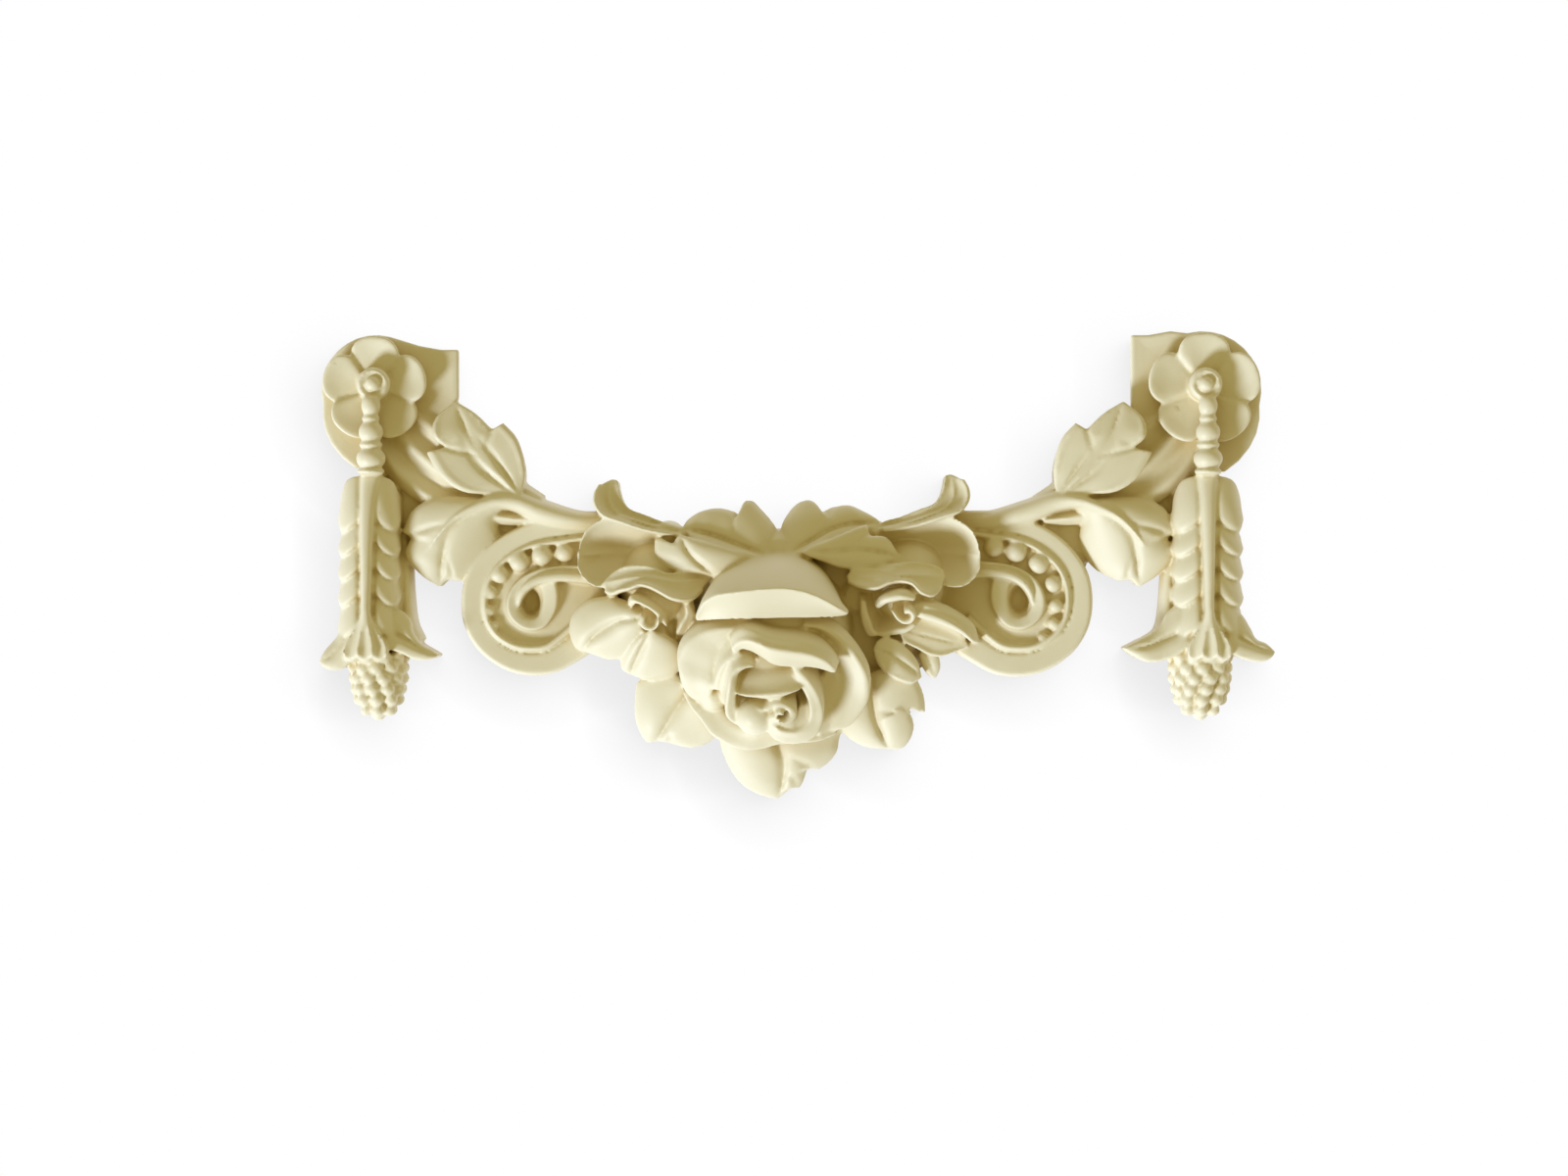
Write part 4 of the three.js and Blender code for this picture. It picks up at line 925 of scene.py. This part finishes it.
def joined(parts):
    points, faces, start = [], [], 0
    for part_points, part_faces in parts:
        points.append(part_points)
        faces.append(part_faces + start)
        start += len(part_points)
    return np.vstack(points), np.vstack(faces)


def placed(name, data):
    thing = bpy.data.objects.new(name, data)
    bpy.context.scene.collection.objects.link(thing)
    return thing


def worked(thing, kind, **settings):
    """Adds a modifier with its settings and makes its result the mesh."""
    modifier = thing.modifiers.new(kind, kind)
    for name, value in settings.items():
        setattr(modifier, name, value)
    graph = bpy.context.evaluated_depsgraph_get()
    mesh = bpy.data.meshes.new_from_object(thing.evaluated_get(graph))
    thing.modifiers.clear()
    thing.data = mesh


def melted(name, parts):
    """One closed skin over all the shells, cut flat at the wall, in metres."""
    points, faces = joined(parts)
    mesh = bpy.data.meshes.new(name)
    mesh.from_pydata(points.tolist(), [], faces.tolist())
    thing = placed(name, mesh)
    worked(thing, "REMESH", mode="VOXEL", voxel_size=VOXEL["fine"], adaptivity=0)
    worked(thing, "SMOOTH", factor=0.5, iterations=4)
    coordinates = np.empty(len(thing.data.vertices) * 3, np.float32)
    thing.data.vertices.foreach_get("co", coordinates)
    coordinates = coordinates.reshape(-1, 3)
    coordinates[:, 1] = np.minimum(coordinates[:, 1], 0)
    coordinates *= MM
    thing.data.vertices.foreach_set("co", coordinates.ravel())
    triangles = sum(len(face.vertices) - 2 for face in thing.data.polygons)
    worked(thing, "DECIMATE", ratio=min(1, SKIN_FACES / triangles))
    thing.data.validate()  # a few faces fall together in the reduction
    thing.data.polygons.foreach_set("use_smooth", [True] * len(thing.data.polygons))
    thing.data.update()
    return thing


def fill(made, values):
    """Sets a node's sockets by name, with _ for a space."""
    for name, value in values.items():
        made.inputs[name.replace("_", " ")].default_value = value


def node(material, kind, **values):
    made = material.node_tree.nodes.new("ShaderNode" + kind)
    fill(made, values)
    return made


def new_material(name, **values):
    """A material, its links and its main shader."""
    material = bpy.data.materials.new(name)
    material.use_nodes = True
    shader = material.node_tree.nodes["Principled BSDF"]
    fill(shader, values)
    return material, material.node_tree.links, shader


def painted_shade(material, color, reach, low, shade):
    """Painted shade: the colour mixed with a dark shade where other surfaces stand within reach, standing
    in for the shade that falls there.
    """
    links = material.node_tree.links
    near = node(material, "AmbientOcclusion", Distance=reach)
    near.samples = 8
    depth = node(material, "MapRange", From_Min=low, From_Max=0.85)
    links.new(near.outputs["AO"], depth.inputs["Value"])
    mix = node(material, "Mix")
    mix.data_type = "RGBA"
    mix.inputs[6].default_value = shade
    links.new(depth.outputs["Result"], mix.inputs[0])
    links.new(color, mix.inputs[7])
    return mix.outputs[2]


def ivory():
    """Matt ivory casting: a warm cream with soft clouding and a faint grain, darker in the hollows and
    creases by painted shade.
    """
    material, links, shader = new_material("cast_ivory", Roughness=0.5)
    place = node(material, "TexCoord").outputs["Object"]
    cloud = node(material, "TexNoise", Scale=14, Detail=5)
    links.new(place, cloud.inputs["Vector"])
    tones = node(material, "ValToRGB")
    for element, (position, color) in zip(tones.color_ramp.elements, IVORY["clouds"]):
        element.position = position
        element.color = color
    links.new(cloud.outputs["Fac"], tones.inputs["Fac"])
    # painted shade in the hollows, then painted shade in the fine creases
    color = painted_shade(material, tones.outputs["Color"], **IVORY["hollow"])
    color = painted_shade(material, color, **IVORY["crease"])
    links.new(color, shader.inputs["Base Color"])
    grain = node(material, "TexNoise", Scale=900, Detail=3)
    links.new(place, grain.inputs["Vector"])
    bump = node(material, "Bump", Strength=0.06, Distance=0.0003)
    links.new(grain.outputs["Fac"], bump.inputs["Height"])
    links.new(bump.outputs["Normal"], shader.inputs["Normal"])
    return material


parts = []
for end in ENDS:
    parts += side(end)
for place in SCROLLS:
    parts += scroll(place)
parts += [leaf(shape) for shape in ROSE_LEAVES]
parts += bed()
parts += rose()
for spot, petals in zip(BUDS, (LEFT_BUD, RIGHT_BUD)):
    parts += bud(spot, petals)
parts += [leaf(shape) for shape in SEPALS]
parts += [rolled(shape["edges"][1], 1.3, at) for shape in SEPALS]

cast = melted("festoon_cast", parts)
cast.data.materials.clear()
cast.data.materials.append(ivory())
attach(cast, "root")
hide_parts("festoon")


# Studio


def painted_soft_shadow():
    """A backdrop that glows an even white, but for a faint painted soft shadow to the lower left of the
    casting.
    """
    material, links, shader = new_material(
        "backdrop_white_and_painted_shadow", Base_Color=(0, 0, 0, 1), Roughness=1, Specular_IOR_Level=0, Emission_Strength=1
    )
    # painted shadow: occlusion that looks towards the upper right darkens the glow to the lower left of the
    # casting
    tilt = node(material, "CombineXYZ", X=0.62, Y=-0.42, Z=0.66)
    near = node(material, "AmbientOcclusion", Distance=0.03)
    near.samples = 12
    links.new(tilt.outputs["Vector"], near.inputs["Normal"])
    tone = node(material, "MapRange", From_Min=0.3, From_Max=0.97, To_Min=0.8, To_Max=1.0)
    links.new(near.outputs["AO"], tone.inputs["Value"])
    links.new(tone.outputs["Result"], shader.inputs["Emission Color"])
    return material


def one_sided(material):
    """Seen from behind, the wall isn't there."""
    nodes, links = material.node_tree.nodes, material.node_tree.links
    mix = node(material, "MixShader")
    links.new(node(material, "NewGeometry").outputs["Backfacing"], mix.inputs["Fac"])
    links.new(nodes["Principled BSDF"].outputs["BSDF"], mix.inputs[1])
    links.new(node(material, "BsdfTransparent").outputs["BSDF"], mix.inputs[2])
    links.new(mix.outputs["Shader"], nodes["Material Output"].inputs["Surface"])
    return material


def backdrop(material):
    wide, tall, y = BACKDROP["half"], BACKDROP["tall"], BACKDROP["y"]
    mesh = bpy.data.meshes.new("backdrop")
    corners = [(-wide, y, -tall), (wide, y, -tall), (wide, y, tall), (-wide, y, tall)]
    mesh.from_pydata(corners, [], [(0, 1, 2, 3)])
    mesh.materials.append(material)
    placed("backdrop", mesh)


def key_light():
    """Even light from the lower left, with soft shadows. Its source is the direction it comes from."""
    lamp = bpy.data.lights.new("key", "SUN")
    lamp.energy = KEY["strength"]
    lamp.angle = math.radians(KEY["angle"])
    lamp.color = KEY["color"]
    placed("key", lamp).rotation_euler = Vector(KEY["source"]).to_track_quat("Z", "Y").to_euler()


def front_camera():
    lens = bpy.data.cameras.new("camera")
    lens.lens = LENS["length"]
    lens.sensor_width = LENS["sensor"]
    camera = placed("camera", lens)
    camera.location = (EYE["x"] * MM, -EYE["away"] * MM, EYE["z"] * MM)
    camera.rotation_euler = (math.radians(90), 0, 0)
    bpy.context.scene.camera = camera


scene = bpy.context.scene
scene.view_settings.view_transform = "Standard"
backdrop(one_sided(painted_soft_shadow()))
key_light()
scene.world = bpy.data.worlds.new("studio")
scene.world.use_nodes = True
fill(scene.world.node_tree.nodes["Background"], SKY)
front_camera()
